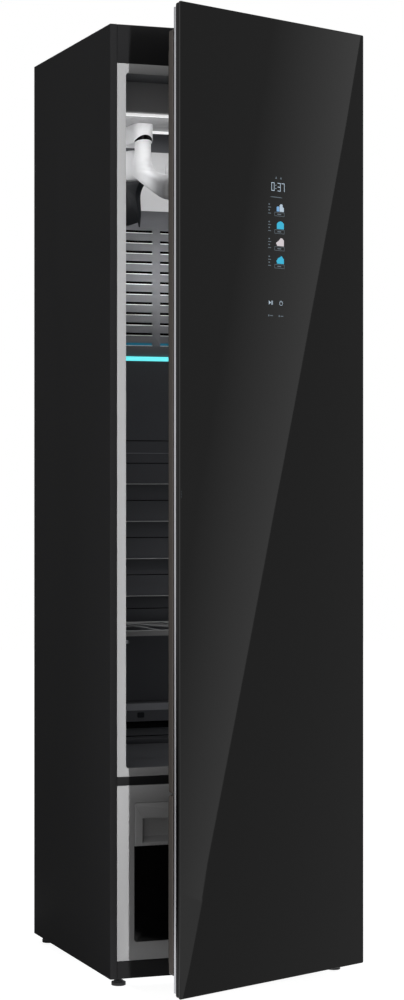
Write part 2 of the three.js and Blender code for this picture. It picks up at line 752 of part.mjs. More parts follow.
function slottedCover() {
  const z = [slotCover.bottom, litPanel.bottom - meetingGap];
  const cover = join(backCover(z), ...coverLegs(z));
  const reach = [coverFace - cutOverrun, coverFace + coverThickness + cutOverrun];
  const slots = [];
  for (let row = 0; row < slotCover.rows; row++) {
    const top = slotCover.firstRow - row * slotCover.pitch;
    for (const side of [-1, 1]) {
      const x = span(side * slotCover.gapHalf, side * (coverHalf - slotCover.sideInset));
      slots.push(block(x, reach, [top - slotCover.slotHeight, top]));
    }
  }
  return cut(cover, ...slots);
}

const litBackPanel = () => {
  const z = [litPanel.bottom, litPanel.top];
  return join(backCover(z), ...coverLegs(z));
};

function accentLight() {
  const top = slotCover.bottom - meetingGap;
  return backCover([top - accent.height, top], accent.proud);
}

/** The plain cover below the cyan light, with its overlapping louvres. */
function lowerDuctCover() {
  const top = lowerCover.top;
  const z = [lowerCover.bottom, top];
  const outline = new THREE.Shape();
  outline.moveTo(coverFace + coverThickness, top);
  outline.lineTo(coverFace, top);
  for (let i = 0; i < louvre.count; i++) {
    const lip = louvre.topLip - i * louvre.pitch;
    outline.lineTo(coverFace, lip + louvre.slope);
    outline.lineTo(coverFace - louvre.proud, lip);
    outline.lineTo(coverFace - louvre.proud, lip - louvre.lipHeight);
    outline.lineTo(coverFace, lip - louvre.lipHeight);
  }
  outline.lineTo(coverFace, lowerCover.bottom);
  outline.lineTo(coverFace + coverThickness, lowerCover.bottom);
  outline.closePath();
  return join(prism("x", outline, [-coverHalf, coverHalf]), ...coverLegs(z));
}

// Filter at the foot of the back
const filter = {
  sideInset: 52.2,
  depth: 22,
  frontRoom: 10,
  wall: 2.5,
  gripHeight: 10,
  gripWidth: 70,
  meshWall: 4,
};
filter.width = 2 * (coverHalf - filter.sideInset);

/** The housing that the lint filter stands in, open at the top, with an air grille in front. */
function filterHousing() {
  const y = [coverFace - filterBox.depth, coverFace + coverThickness];
  const z = [chamberFloor + meetingGap, filterBox.top];
  const shell = block([-coverHalf, coverHalf], y, z);
  const half = filter.width / 2 + slidingGap;
  const pocketY = [y[0] + filter.frontRoom - slidingGap, y[0] + filter.frontRoom + filter.depth + slidingGap];
  const pocket = block([-half, half], pocketY, [z[0] + filter.wall, z[1] + cutOverrun]);
  const intake = block([-half + filter.frontRoom, half - filter.frontRoom],
    [y[0] - cutOverrun, pocketY[0] + cutOverrun],
    [z[0] + filter.frontRoom, z[0] + filter.frontRoom * 3]);
  const outlet = block([-half + filter.frontRoom, half - filter.frontRoom],
    [pocketY[1] - cutOverrun, y[1] + cutOverrun],
    [z[0] + filter.frontRoom, z[0] + filter.frontRoom * 5]);
  return cut(shell, pocket, intake, outlet);
}

/** A lint filter frame with a window for its mesh and a grip along its top. */
function lintFilter() {
  const y0 = coverFace - filterBox.depth + filter.frontRoom;
  const half = filter.width / 2;
  const z = [chamberFloor + meetingGap * 2 + filter.wall, filterBox.top - filter.wall];
  const body = block([-half, half], [y0, y0 + filter.depth], z);
  const w = filter.meshWall;
  const bag = block([-half + w, half - w], [y0 + w, y0 + filter.depth + cutOverrun],
    [z[0] + w, z[1] - filter.gripHeight]);
  const thumbHole = block([-filter.gripWidth / 2, filter.gripWidth / 2],
    [y0 + filter.depth / 2, y0 + filter.depth + cutOverrun],
    [z[1] - filter.gripHeight + filter.wall, z[1] + cutOverrun]);
  return cut(body, bag, thumbHole);
}

// Shelf
const shelf = { rise: 256, thickness: 11, frontDepth: 128, border: 16, rib: 8, bays: 4, web: 3 };
shelf.top = chamberFloor + shelf.rise;

/** A light shelf with slanting ribs that leave triangles open. */
function clothesShelf() {
  const x0 = -coverHalf;
  const y = [front + shelf.frontDepth, coverFace - louvre.proud - slidingGap];
  const plate = block([x0, coverHalf], y, [shelf.top - shelf.thickness, shelf.top]);
  const b = shelf.border;
  const bay = (2 * (coverHalf - b)) / shelf.bays;
  const r = shelf.rib;
  const holes = [];
  for (let i = 0; i < shelf.bays; i++) {
    const a = x0 + b + i * bay + r / 2;
    const c = a + bay - r;
    const near = y[0] + b;
    const far = y[1] - b;
    const leaning = i % 2 ? [[a, near], [c - r, near], [a, far - r * 2]] : [[a + r, near], [c, near],
      [c, far - r * 2]];
    const other = i % 2 ? [[c, far], [a + r, far], [c, near + r * 2]] : [[c - r, far], [a, far],
      [a, near + r * 2]];
    for (const corners of [leaning, other]) {
      const shape = new THREE.Shape(corners.map(([px, py]) => new THREE.Vector2(px, py)));
      holes.push(prism("z", shape, [shelf.top - shelf.thickness - cutOverrun, shelf.top + cutOverrun]));
    }
  }
  const under = block([x0 + b, coverHalf - b], [y[0] + shelf.web, y[1] - shelf.web],
    [shelf.top - shelf.thickness - cutOverrun, shelf.top - shelf.web]);
  return cut(plate, ...holes, under);
}

// Machinery
const floorLevel = panThickness + meetingGap;
const boiler = {
  radius: 48,
  height: 150,
  flange: 56,
  flangeHeight: 6,
  pipeRadius: 7,
  pipeBore: 5,
};
const compressor = {
  placeShare: 0.6,
  backInset: 150,
  radius: 52,
  height: 150,
  domeHeight: 26,
  base: 64,
  baseHeight: 5,
};
compressor.x = left * compressor.placeShare;
compressor.y = back - compressor.backInset;
const exchanger = {
  leftRoom: 16,
  rightRoom: 24,
  backInset: 200,
  depth: 70,
  height: 230,
  fins: 14,
  finThickness: 1.6,
  plateDepth: 5,
};
exchanger.x = [
  compressor.x + compressor.base + exchanger.leftRoom,
  steamPort.x - boiler.flange - exchanger.rightRoom,
];
exchanger.y = [back - exchanger.backInset, back - exchanger.backInset + exchanger.depth];
const fan = {
  radius: 46,
  bladeChord: 12,
  wall: 2.5,
  hubRadius: 10,
  shaftRadius: 4,
  blades: 18,
  bladeThickness: 2.4,
  rimHeight: 3,
};
const airFan = { x: -20, drop: 71.1, backInset: 110, depth: 64 };
airFan.z = crossBarTop - airFan.drop;
airFan.y = [back - airFan.backInset, back - airFan.backInset + airFan.depth];
const jetFan = { height: 58 };
const boardShape = { width: 110, height: 150, thickness: 2, standoff: 8, partDepth: 14, partSize: 24 };
const boardPostShares = [0.1, 0.9];
const boardPartShares = [[0.3, 0.2], [0.3, 0.5], [0.7, 0.35], [0.65, 0.75]];
const inlet = { leftInset: 60, z: 300, radius: 11, flange: 17, depth: 16, bore: 5, lip: 2 };
inlet.x = left + inlet.leftInset;

function inletHole() {
  return bar("y", [backPanelFace - cutOverrun, back + cutOverrun], [inlet.x, inlet.z],
    inlet.radius + meetingGap);
}

/** The collar in the back sheet where the mains lead would enter. */
function mainsInlet() {
  const collar = bar("y", [backPanelFace - inlet.depth, backPanelFace - meetingGap], [inlet.x, inlet.z],
    inlet.flange);
  const throat = bar("y", [backPanelFace - inlet.depth, back - inlet.lip / 2], [inlet.x, inlet.z],
    inlet.radius);
  return cut(join(collar, throat),
    bar("y", [backPanelFace - inlet.depth - cutOverrun, back + cutOverrun], [inlet.x, inlet.z], inlet.bore));
}

/** The boiler, with a pipe up to the steam port in the chamber's floor. */
function steamGenerator() {
  const place = [steamPort.x, steamPort.y];
  const drum = bar("z", [floorLevel, floorLevel + boiler.height], place, boiler.radius, fineSides);
  const flange = bar("z", [floorLevel, floorLevel + boiler.flangeHeight], place, boiler.flange, fineSides);
  const top = chamberFloor - liner.wall;
  const pipe = bar("z", [floorLevel + boiler.flangeHeight, top], place, boiler.pipeRadius);
  const bore = bar("z", [floorLevel + boiler.height / 2, top + cutOverrun], place, boiler.pipeBore);
  return cut(join(drum, flange, pipe), bore);
}

/** A sealed compressor on its base plate. */
function compressorBody() {
  const place = [compressor.x, compressor.y];
  const top = floorLevel + compressor.height;
  const can = bar("z", [floorLevel, top], place, compressor.radius, fineSides);
  const dome = bar("z", [top, top + compressor.domeHeight], place, compressor.radius, fineSides,
    compressor.radius / 2);
  const base = block([compressor.x - compressor.base, compressor.x + compressor.base],
    [compressor.y - compressor.base, compressor.y + compressor.base],
      [floorLevel, floorLevel + compressor.baseHeight]);
  return join(can, dome, base);
}

/** A finned block that dries and warms the air. */
function heatExchanger() {
  const { x, y, height, fins, finThickness } = exchanger;
  const z = [floorLevel, floorLevel + height];
  const core = block(x, [y[0] + exchanger.plateDepth * 3, y[1] - exchanger.plateDepth * 3], z);
  const pitch = (x[1] - x[0] - finThickness) / (fins - 1);
  const plates = Array.from({ length: fins }, (_, i) =>
    block([x[0] + i * pitch, x[0] + i * pitch + finThickness], y, z),
  );
  return join(core, ...plates);
}

/** A drum of blades round a hub with its shaft, turned to lie along an axis. */
function impeller(axis, [low, high], place, radius, shaftEnds) {
  const hub = bar(axis, [low, high], place, fan.hubRadius);
  const plate = bar(axis, [low, low + fan.rimHeight], place, radius, fineSides);
  const blades = [];
  for (let i = 0; i < fan.blades; i++) {
    const angle = (i / fan.blades) * Math.PI * 2;
    const shape = new THREE.Shape();
    const inner = radius - fan.bladeChord;
    const t = fan.bladeThickness / 2;
    const turn = ([u, v]) => new THREE.Vector2(
      place[0] + u * Math.cos(angle) - v * Math.sin(angle),
      place[1] + u * Math.sin(angle) + v * Math.cos(angle),
    );
    shape.setFromPoints([[inner, -t], [radius - t, t], [radius - t, t * 3], [inner, t]].map(turn));
    blades.push(prism(axis, shape, [low, high]));
  }
  return join(hub, plate, bar(axis, shaftEnds, place, fan.shaftRadius), ...blades);
}

/** A round fan casing with an inlet at one end, a motor boss at the other and a square outlet. */
function fanCasing(axis, [low, high], place, radius, outlet) {
  const w = fan.wall;
  const outer = bar(axis, [low, high], place, radius + w, fineSides);
  const room = bar(axis, [low + w, high - w], place, radius, fineSides);
  const intake = bar(axis, [high - w - cutOverrun, high + cutOverrun], place, radius - fan.hubRadius,
    fineSides);
  const shaftHole = bar(axis, [low - cutOverrun, low + w + cutOverrun], place, fan.shaftRadius + meetingGap);
  return cut(join(outer, outlet.body), room, outlet.room, intake, shaftHole);
}

const airFanPlace = [airFan.x, airFan.z];
const airFanRoom = fan.radius + slidingGap * 5;

/** The circulation fan's casing, hung under the chamber, with a neck up to the air return. */
function airFanCasing() {
  const w = fan.wall;
  const top = crossBarTop - meetingGap;
  const x = [airFan.x - fan.radius / 2, airFan.x + fan.radius / 2];
  const y = airFan.y;
  const body = block(x, y, [airFan.z, top]);
  const room = block([x[0] + w, x[1] - w], [y[0] + w, y[1] - w], [airFan.z, top + cutOverrun]);
  return fanCasing("y", y, airFanPlace, airFanRoom, { body, room });
}

const airImpeller = () => {
  const w = fan.wall;
  const [y0, y1] = airFan.y;
  return impeller("y", [y0 + w * 2, y1 - w * 2], airFanPlace, fan.radius, [y0 - meetingGap, y1 - w * 2]);
};

/** The jet fan's casing on top of the insulation, with a pipe down to the ceiling housing. */
function jetFanCasing() {
  const w = fan.wall;
  const place = [0, jetDuct.y];
  const z = [headerBottom + meetingGap, headerBottom + meetingGap + jetFan.height];
  const pipe = bar("z", [chamberTop, z[0] + w], place, jetDuct.radius, fineSides);
  const pipeRoom = bar("z", [chamberTop - cutOverrun, z[0] + w + cutOverrun], place, jetDuct.radius - w,
    fineSides);
  const outer = bar("z", z, place, airFanRoom + w, fineSides);
  const room = bar("z", [z[0] + w, z[1] - w], place, airFanRoom, fineSides);
  const shaftHole = bar("z", [z[1] - w - cutOverrun, z[1] + cutOverrun], place, fan.shaftRadius + meetingGap);
  const side = airFanRoom + w;
  const intake = block([-side / 2, side / 2], [jetDuct.y, jetDuct.y + side + cutOverrun],
    [z[0] + w * 3, z[1] - w * 3]);
  return cut(join(outer, pipe), room, pipeRoom, shaftHole, intake);
}

const jetImpeller = () => {
  const z0 = headerBottom + meetingGap + fan.wall * 2;
  const z1 = headerBottom + meetingGap + jetFan.height;
  return impeller("z", [z0, z1 - fan.wall * 2], [0, jetDuct.y], fan.radius, [z0, z1]);
};

/** The control board on its posts against the back sheet. */
function controlBoard() {
  const b = boardShape;
  const x0 = inlet.x - b.partSize;
  const y1 = backPanelFace - meetingGap;
  const z0 = ventShape.bottom + b.partSize * 2;
  const plate = block([x0, x0 + b.width], [y1 - b.standoff - b.thickness, y1 - b.standoff],
    [z0, z0 + b.height]);
  const corners = boardPostShares.flatMap((u) => boardPostShares.map((v) => [x0 + b.width * u,
    z0 + b.height * v]));
  const posts = corners.map((at) => bar("y", [y1 - b.standoff, y1], at, b.thickness * 2, smallSides));
  const face = y1 - b.standoff - b.thickness;
  const parts = boardPartShares.map(([u, v]) => {
    const px = x0 + b.width * u;
    const pz = z0 + b.height * v;
    const half = b.partSize / 2;
    return block([px - half, px + half], [face - b.partDepth, face], [pz - half, pz + half]);
  });
  return join(plate, ...posts, ...parts);
}

// Door, drawn shut and then swung about its pivot
const pivot = { x: right - pivotInset, y: front - pivotForward };
const layer = { glass: 4, carrier: 8.3, profile: 6.2, groove: 3.7, liner: 4.7, shell: 7.2 };
const face = {};
face.glass = front - doorStandoff;
face.carrier = face.glass + layer.glass + meetingGap;
face.profile = face.glass + layer.glass + layer.carrier + meetingGap;
face.groove = face.profile + layer.profile;
face.liner = face.groove + layer.groove;
face.shell = face.liner + layer.liner;
face.rear = face.shell + layer.shell;
const doorX = [pivot.x + doorPastPivot - doorWidth, pivot.x + doorPastPivot];
const doorZ = [doorLift, doorLift + doorHeight];
const doorEdge = {
  carrierInset: 1,
  profileInset: 2,
  profileWidth: 12,
  profileEndInset: 9,
  linerInset: 4,
  shellInset: 5,
};
const innerZ = [doorZ[0] + hingeBottomRoom, doorZ[1] - hingeTopRoom];
const seal = { inset: 16, width: 11, corner: 12 };
const displayShape = { x: 57, width: 64, topDrop: 314.1, height: 300, depth: 5 };
displayShape.bottom = doorZ[1] - displayShape.topDrop - displayShape.height;

/** A plate of the door, inset from its outline. */
function doorPlate(inset, [y0, y1], z, corner = openingCorner) {
  return prism("y", roundedRect([doorX[0] + inset, doorX[1] - inset], z, corner), [y0, y1]);
}

const doorGlass = () => doorPlate(0, [face.glass, face.carrier - meetingGap], doorZ, openingCorner / 2);

/** The black frame that the glass is bonded to, with a window for the display. */
function doorCarrier() {
  const i = doorEdge.carrierInset;
  const plate = doorPlate(i, [face.carrier, face.profile - meetingGap], [doorZ[0] + i, doorZ[1] - i]);
  const x0 = displayLeft();
  const room = block([x0 - meetingGap, x0 + displayShape.width + meetingGap],
    [face.carrier - cutOverrun, face.carrier + displayShape.depth + meetingGap],
    [displayShape.bottom - meetingGap, displayShape.bottom + displayShape.height + meetingGap]);
  return cut(plate, room);
}

const displayLeft = () => (doorX[0] + doorX[1]) / 2 - displayShape.width / 2 + displayShape.x;

function displayModule() {
  const x0 = displayLeft();
  const d = displayShape;
  return block([x0, x0 + d.width], [face.carrier, face.carrier + d.depth], [d.bottom, d.bottom + d.height]);
}

/** The metal strip along the free edge, with a finger groove behind it. */
function gripProfile() {
  const x0 = doorX[0] + doorEdge.profileInset;
  const z = [doorZ[0] + doorEdge.profileEndInset, doorZ[1] - doorEdge.profileEndInset];
  return block([x0, x0 + doorEdge.profileWidth], [face.profile, face.groove], z);
}

/** The foam core between the carrier and the lining, recessed behind the grip. */
function doorCore() {
  const x0 = doorX[0] + doorEdge.profileInset + doorEdge.profileWidth + meetingGap;
  const x1 = doorX[1] - doorEdge.profileInset;
  const inner = [innerZ[0] + doorEdge.linerInset, innerZ[1] - doorEdge.linerInset];
  const tall = block([x0, x1], [face.profile, face.groove], [doorZ[0] + doorEdge.profileEndInset,
    doorZ[1] - doorEdge.profileEndInset]);
  const low = block([x0, x1], [face.profile, face.liner - meetingGap], inner);
  return join(tall, low);
}

/** One field of the door's inner lining: a thin pale edge and the shell behind it. */
function doorLiner(z) {
  const edge = doorPlate(doorEdge.linerInset, [face.liner, face.shell], z);
  const tuck = doorEdge.shellInset - doorEdge.linerInset;
  const shell = doorPlate(doorEdge.shellInset, [face.shell, face.rear], [z[0] + tuck, z[1] - tuck]);
  const pins = [innerZ[0], innerZ[1]].map((at) =>
    bar("z", [at - hinge.pinDepth - slidingGap, at + hinge.pinDepth + slidingGap], [pivot.x, pivot.y],
      hinge.pinRadius + hinge.play),
  );
  return cut(join(edge, shell), ...pins);
}

/** A magnetic seal ring round one field of the door. */
function doorGasket(z) {
  const x = [left + seal.inset, right - seal.inset];
  const y = [face.rear + meetingGap, front - meetingGap];
  const ring = prism("y", roundedRect(x, z, seal.corner), y);
  const w = seal.width;
  const room = roundedRect([x[0] + w, x[1] - w], [z[0] + w, z[1] - w], seal.corner / 2);
  return cut(ring, prism("y", room, [y[0] - cutOverrun, y[1] + cutOverrun]));
}

const hinge = {
  pinRadius: 2,
  play: 0.2,
  pinDepth: 20,
  armHeight: 4,
  armSide: 7,
  plateWidth: 34,
  plateHeight: 30,
  plate: 3,
};

/** A hinge bracket on the front of the body, with its pin into the door's lining. */
function hingeBracket(end) {
  const near = end > 0 ? innerZ[1] : innerZ[0];
  const from = near + end * slidingGap;
  const arm = block([pivot.x - hinge.armSide, pivot.x + hinge.armSide],
    [pivot.y - hinge.armSide, front - meetingGap], span(from, from + end * hinge.armHeight));
  const plate = block([pivot.x + hinge.armSide - hinge.plateWidth, pivot.x + hinge.armSide],
    [front - meetingGap - hinge.plate, front - meetingGap], span(from, from + end * hinge.plateHeight));
  const pin = bar("z", span(from + end * hinge.armHeight, near - end * hinge.pinDepth),
    [pivot.x, pivot.y], hinge.pinRadius, smallSides);
  return join(arm, plate, pin);
}

// Assembly
group.add(
  node("left_side_panel", sidePanel(-1), finishes.casing),
  node("right_side_panel", sidePanel(1), finishes.casing),
  node("top_cover", topCover(), finishes.casing),
  node("back_panel", backPanel(), finishes.galvanised),
  node("base_pan", basePan(), finishes.galvanised),
  node("header_panel", headerPanel(), finishes.gloss),
  node("chamber_front_frame", chamberFrame(), finishes.frame),
  node("cross_bar", crossBar(), finishes.gloss),
  node("lower_front_frame", lowerFrame(), finishes.frame),
  node("base_trim", baseTrim(), finishes.gloss),
  node("tank_tray", tankTray(), finishes.darkPlastic),
  node("chamber_liner", chamberLiner(), finishes.linerPlastic),
  node("insulation", insulation(), finishes.foam),
  node("ceiling_air_housing", dropHousing(), finishes.darkPlastic),
  node("front_light_bar", ceilingLight(drop.y[0]), finishes.light),
  node("rear_light_bar", ceilingLight(drop.y[1] - lightBar.depth), finishes.light),
  node("lit_back_panel", litBackPanel(), finishes.lit),
  node("slotted_duct_cover", slottedCover(), finishes.darkPlastic),
  node("accent_light_strip", accentLight(), finishes.cyan),
  node("lower_duct_cover", lowerDuctCover(), finishes.darkPlastic),
  node("filter_housing", filterHousing(), finishes.darkPlastic),
  node("lint_filter", lintFilter(), finishes.linerPlastic),
  node("clothes_shelf", clothesShelf(), finishes.linerPlastic),
  node("steam_generator", steamGenerator(), finishes.steel),
  node("compressor", compressorBody(), finishes.casing),
  node("heat_exchanger", heatExchanger(), finishes.galvanised),
  node("circulation_fan_casing", airFanCasing(), finishes.darkPlastic),
  node("circulation_fan_impeller", airImpeller(), finishes.white),
  node("jet_fan_casing", jetFanCasing(), finishes.darkPlastic),
  node("jet_fan_impeller", jetImpeller(), finishes.white),
  node("control_board", controlBoard(), finishes.board),
  node("mains_inlet", mainsInlet(), finishes.rubber),
  node("top_hinge_bracket", hingeBracket(1), finishes.steel),
  node("bottom_hinge_bracket", hingeBracket(-1), finishes.steel),
);

for (const [name, side] of [["supply", -1], ["drain", 1]]) {
  group.add(node(name + "_tank_front", tankFront(side), finishes.frame));
  group.add(node(name + "_tank", tankBody(side), finishes.gloss));
}

hangerPlaces().forEach((x, i) => {
  group.add(node("hanger_bracket_" + (i + 1), hangerBracket(x), finishes.white));
  group.add(node("air_hanger_" + (i + 1), airHanger(x), finishes.white));
  group.add(node("hanger_nozzle_" + (i + 1), nozzleBlade(x), finishes.darkPlastic));
});

for (const [name, sx, sy] of [
  ["front_left", -1, -1],
  ["front_right", 1, -1],
  ["rear_left", -1, 1],
  ["rear_right", 1, 1],
]) {
  const mesh = node("levelling_foot_" + name, levellingFoot(), finishes.darkPlastic);
  mesh.position.set(sx * foot.x, sy * foot.y, 0);
  group.add(mesh);
}

const splitZ = (crossBarBottom + crossBarTop) / 2;
const door = new THREE.Group();
door.add(
  node("door_glass", doorGlass(), finishes.glass),
  node("door_carrier_frame", doorCarrier(), finishes.gloss),
  node("door_display_module", displayModule(), finishes.board),
  node("door_grip_profile", gripProfile(), finishes.silver),
  node("door_core", doorCore(), finishes.foam),
  node("door_liner_upper", doorLiner([splitZ + meetingGap, innerZ[1]]), finishes.doorShell),
  node("door_liner_lower", doorLiner([innerZ[0], splitZ - meetingGap]), finishes.doorShell),
  node("door_gasket_upper", doorGasket([crossBarTop, headerBottom]), finishes.rubber),
  node("door_gasket_lower", doorGasket([innerZ[0] + seal.corner, crossBarBottom]), finishes.rubber),
);
door.children.forEach((mesh) => mesh.geometry.translate(-pivot.x, -pivot.y, 0));
door.position.set(pivot.x, pivot.y, 0);
door.rotation.z = THREE.MathUtils.degToRad(doorRestAngle);
group.add(door);

export default group;
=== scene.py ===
"""Looks of a clothes care steam cabinet with its glass door part open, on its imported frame.

Sizes are in millimetres where nothing else is said.
"""

import logging
import math
from dataclasses import dataclass, field, replace
from enum import Enum
from typing import Any, Iterable, Sequence

import bmesh
import bpy
from mathutils import Matrix, Vector


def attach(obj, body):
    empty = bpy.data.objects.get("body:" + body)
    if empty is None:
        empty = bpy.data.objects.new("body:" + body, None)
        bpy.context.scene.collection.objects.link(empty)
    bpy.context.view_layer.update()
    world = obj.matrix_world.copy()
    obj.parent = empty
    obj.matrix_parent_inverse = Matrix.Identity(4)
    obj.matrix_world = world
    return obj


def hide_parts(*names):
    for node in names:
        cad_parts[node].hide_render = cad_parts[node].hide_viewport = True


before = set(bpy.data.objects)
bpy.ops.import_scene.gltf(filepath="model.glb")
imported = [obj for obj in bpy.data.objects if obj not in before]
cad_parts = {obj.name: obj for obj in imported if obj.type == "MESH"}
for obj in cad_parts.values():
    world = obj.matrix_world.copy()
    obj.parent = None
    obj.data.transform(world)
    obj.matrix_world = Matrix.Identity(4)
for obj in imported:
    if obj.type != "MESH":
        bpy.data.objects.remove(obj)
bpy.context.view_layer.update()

LOG = logging.getLogger("steam_cabinet")
MM = 0.001
MERGE_REACH = 0.002 * MM
FLAT_ANGLE = math.radians(0.5)
ROUNDED_ANGLE = math.radians(35)
PORES_PER_GRAIN = 1.7
PORE_SHARE = 0.5
WHITE = (1.0, 1.0, 1.0, 1.0)
ROOT = "cabinet"
DOOR = "door"

Point = tuple[float, float, float]
Flat = tuple[float, float]
Mesh = bpy.types.Mesh
Material = bpy.types.Material
Tree = bpy.types.NodeTree
Socket = bpy.types.NodeSocket


def linear(shade: str) -> tuple[float, float, float, float]:
    """Turns an sRGB hex colour to linear light by the curve of the sRGB standard.

    Args:
        shade: six hex digits, with or without a leading hash.

    Returns:
        Red, green, blue and an alpha of 1.
    """
    digits = shade.lstrip("#")
    parts = [int(digits[i:i + 2], 16) / 255 for i in (0, 2, 4)]
    red, green, blue = (p / 12.92 if p <= 0.04045 else ((p + 0.055) / 1.055) ** 2.4 for p in parts)
    return red, green, blue, 1.0


def add(tree: Tree, kind: str, inputs: dict[Any, Any] | None = None, **settings: Any) -> bpy.types.Node:
    """Adds one node with its settings, values and links.

    Args:
        tree: the node tree that takes the node.
        kind: the node's type name.
        inputs: socket name or number to a value, to another node's output or to a node for its first output.
        settings: attributes of the node.

    Returns:
        The new node.
    """
    made = tree.nodes.new(kind)
    for name, value in settings.items():
        setattr(made, name, value)
    for name, value in (inputs or {}).items():
        value = value.outputs[0] if isinstance(value, bpy.types.Node) else value
        if isinstance(value, Socket):
            tree.links.new(value, made.inputs[name])
        else:
            made.inputs[name].default_value = value
    return made


def blank_material(name: str) -> Material:
    """Makes a material whose node tree is empty.

    Args:
        name: name of the material.

    Returns:
        The new material.
    """
    made = bpy.data.materials.new(name)
    made.use_nodes = True
    made.node_tree.nodes.clear()
    return made


def stood(name: str, data: bpy.types.ID) -> bpy.types.Object:
    """Puts a mesh, lamp or camera into the scene.

    Args:
        name: name of its object.
        data: what the object shows.

    Returns:
        The new object.
    """
    made = bpy.data.objects.new(name, data)
    bpy.context.scene.collection.objects.link(made)
    return made


class Texture(Enum):
    """How a surface was made, which settles its small pattern."""

    MOULDED = "spark-eroded mould grain"
    BRUSHED = "fine lines along one axis"
    SPANGLED = "zinc crystals"
    CELLULAR = "cut foam cells"
    POLISHED = "almost smooth with a slow waviness"


@dataclass(frozen=True)
class Finish:
    """A finish: what the surface is made of and how it was made.

    The second shade is where the pattern carries the colour.
    """

    name: str
    slot: str
    shade: str
    second: str
    grain: float
    relief: float
    roughness: float
    texture: Texture = Texture.MOULDED
    spread: float = 0.08
    metallic: float = 0.0
    ior: float = 1.5
    specular: float = 0.5
    glow: float = 0.0
    light: str = ""
    along: Point = (1.0, 1.0, 1.0)

    def material(self) -> Material:
        """Gives the finish's material, and makes it at the first call.

        Returns:
            The material, which every piece of this finish shares.
        """
        known = bpy.data.materials.get(self.name)
        if known:
            return known
        made = blank_material(self.name)
        made.diffuse_color = linear(self.shade)
        tree = made.node_tree
        pattern = self._pattern(tree)
        mix = add(tree, "ShaderNodeMix", {
            0: pattern, 6: linear(self.shade), 7: linear(self.second)}, data_type="RGBA")
        rough = add(tree, "ShaderNodeMapRange", {
            "Value": pattern, "To Min": self.roughness, "To Max": min(1.0, self.roughness + self.spread)})
        bump = add(tree, "ShaderNodeBump", {
            "Strength": 1.0, "Distance": self.relief * MM, "Height": pattern})
        glow = {"Emission Color": linear(self.light), "Emission Strength": self.glow} if self.glow else {}
        shader = add(tree, "ShaderNodeBsdfPrincipled", {
            "Base Color": mix.outputs[2], "Roughness": rough, "Normal": bump, "Metallic": self.metallic,
            "IOR": self.ior, "Specular IOR Level": self.specular, **glow})
        add(tree, "ShaderNodeOutputMaterial", {0: shader})
        return made

    def _pattern(self, tree: Tree) -> Socket:
        """Builds the small pattern of the surface.

        Args:
            tree: the material's node tree.

        Returns:
            The output that carries the pattern, from 0 to 1.
        """
        where = add(tree, "ShaderNodeTexCoord").outputs["Object"]
        place = add(tree, "ShaderNodeMapping", {"Vector": where, "Scale": self.along})
        per_metre = 1 / (self.grain * MM)
        if self.texture in (Texture.SPANGLED, Texture.CELLULAR):
            return add(tree, "ShaderNodeTexVoronoi", {
                "Vector": place, "Scale": per_metre, "Randomness": 1.0}).outputs["Distance"]
        fine = add(tree, "ShaderNodeTexNoise", {
            "Vector": place, "Scale": per_metre, "Detail": 4.0, "Roughness": 0.55})
        if self.texture is Texture.MOULDED:
            pores = add(tree, "ShaderNodeTexVoronoi", {
                "Vector": place, "Scale": per_metre * PORES_PER_GRAIN, "Randomness": 1.0}).outputs["Distance"]
            fine = add(tree, "ShaderNodeMath", {0: pores, 1: PORE_SHARE, 2: fine}, operation="MULTIPLY_ADD")
        return fine.outputs[0]


# Powder-coated sheet steel: a fine orange peel breaks up its dull sheen
POWDER_COAT = Finish(
    "black_powder_coated_steel", "casing", "#1f1f20", "#252526",
    grain=1.6, relief=0.03, roughness=0.5, specular=0.2)
# Hot-dip galvanised sheet: spangles a few millimetres wide
GALVANISED = Finish(
    "galvanised_sheet", "galvanised", "#8c8f92", "#b0b3b6",
    texture=Texture.SPANGLED, grain=9.0, relief=0.01, roughness=0.34, spread=0.22, metallic=1.0)
# Injection-moulded acrylic-faced ABS: black and glassy, with a slow ripple. The same black makes the sheets
# that paint shade behind the slots, in the louvres' folds and in the filter housing's gaps
GLOSS_BLACK = Finish(
    "gloss_black_abs", "gloss_black", "#050506", "#080809",
    texture=Texture.POLISHED, grain=60.0, relief=0.01, roughness=0.03, spread=0.02, specular=0.2)
# Satin black ABS of the bands across the front
SATIN_BLACK = Finish(
    "satin_black_abs", "gloss_black", "#29292a", "#2d2d2e",
    texture=Texture.POLISHED, grain=60.0, relief=0.01, roughness=0.35, spread=0.05, specular=0.05)
# Satin light grey ABS of the front frames; on the louvres' beads its light grey is a painted highlight
FRAME_GREY = Finish(
    "light_grey_abs", "frame_paint", "#b4b4b5", "#bababb",
    grain=1.2, relief=0.02, roughness=0.42)
# Textured polypropylene of the air covers
DARK_PLASTIC = Finish(
    "dark_grey_polypropylene", "dark_plastic", "#4a4b4f", "#515256",
    grain=1.4, relief=0.05, roughness=0.46)
# The lighter grey of the slotted cover
SLOT_PLASTIC = Finish(
    "slate_grey_polypropylene", "dark_plastic", "#6a6b6f", "#717276",
    grain=1.4, relief=0.04, roughness=0.44)
# The lightest grey of the covers, on the filter's lid, and on the joint's bead, where it is a painted
# highlight
MID_PLASTIC = Finish(
    "mid_grey_polypropylene", "dark_plastic", "#8c8d91", "#94959a",
    grain=1.4, relief=0.04, roughness=0.44)
# Dark glass-filled nylon of the air nozzles and the arch round each ring
NOZZLE = Finish(
    "dark_nylon", "dark_plastic", "#1e2023", "#25272b",
    grain=1.2, relief=0.03, roughness=0.5, specular=0.3)
# Vacuum-formed polystyrene lining
LINER = Finish(
    "grey_polystyrene_lining", "liner_plastic", "#5a5c5f", "#6e6f73",
    grain=2.2, relief=0.02, roughness=0.4)
# Poured polyurethane foam, seen only where panels come off
FOAM = Finish(
    "polyurethane_foam", "foam", "#d9cfa6", "#b8a878",
    texture=Texture.CELLULAR, grain=1.8, relief=0.5, roughness=0.95, spread=0.05)
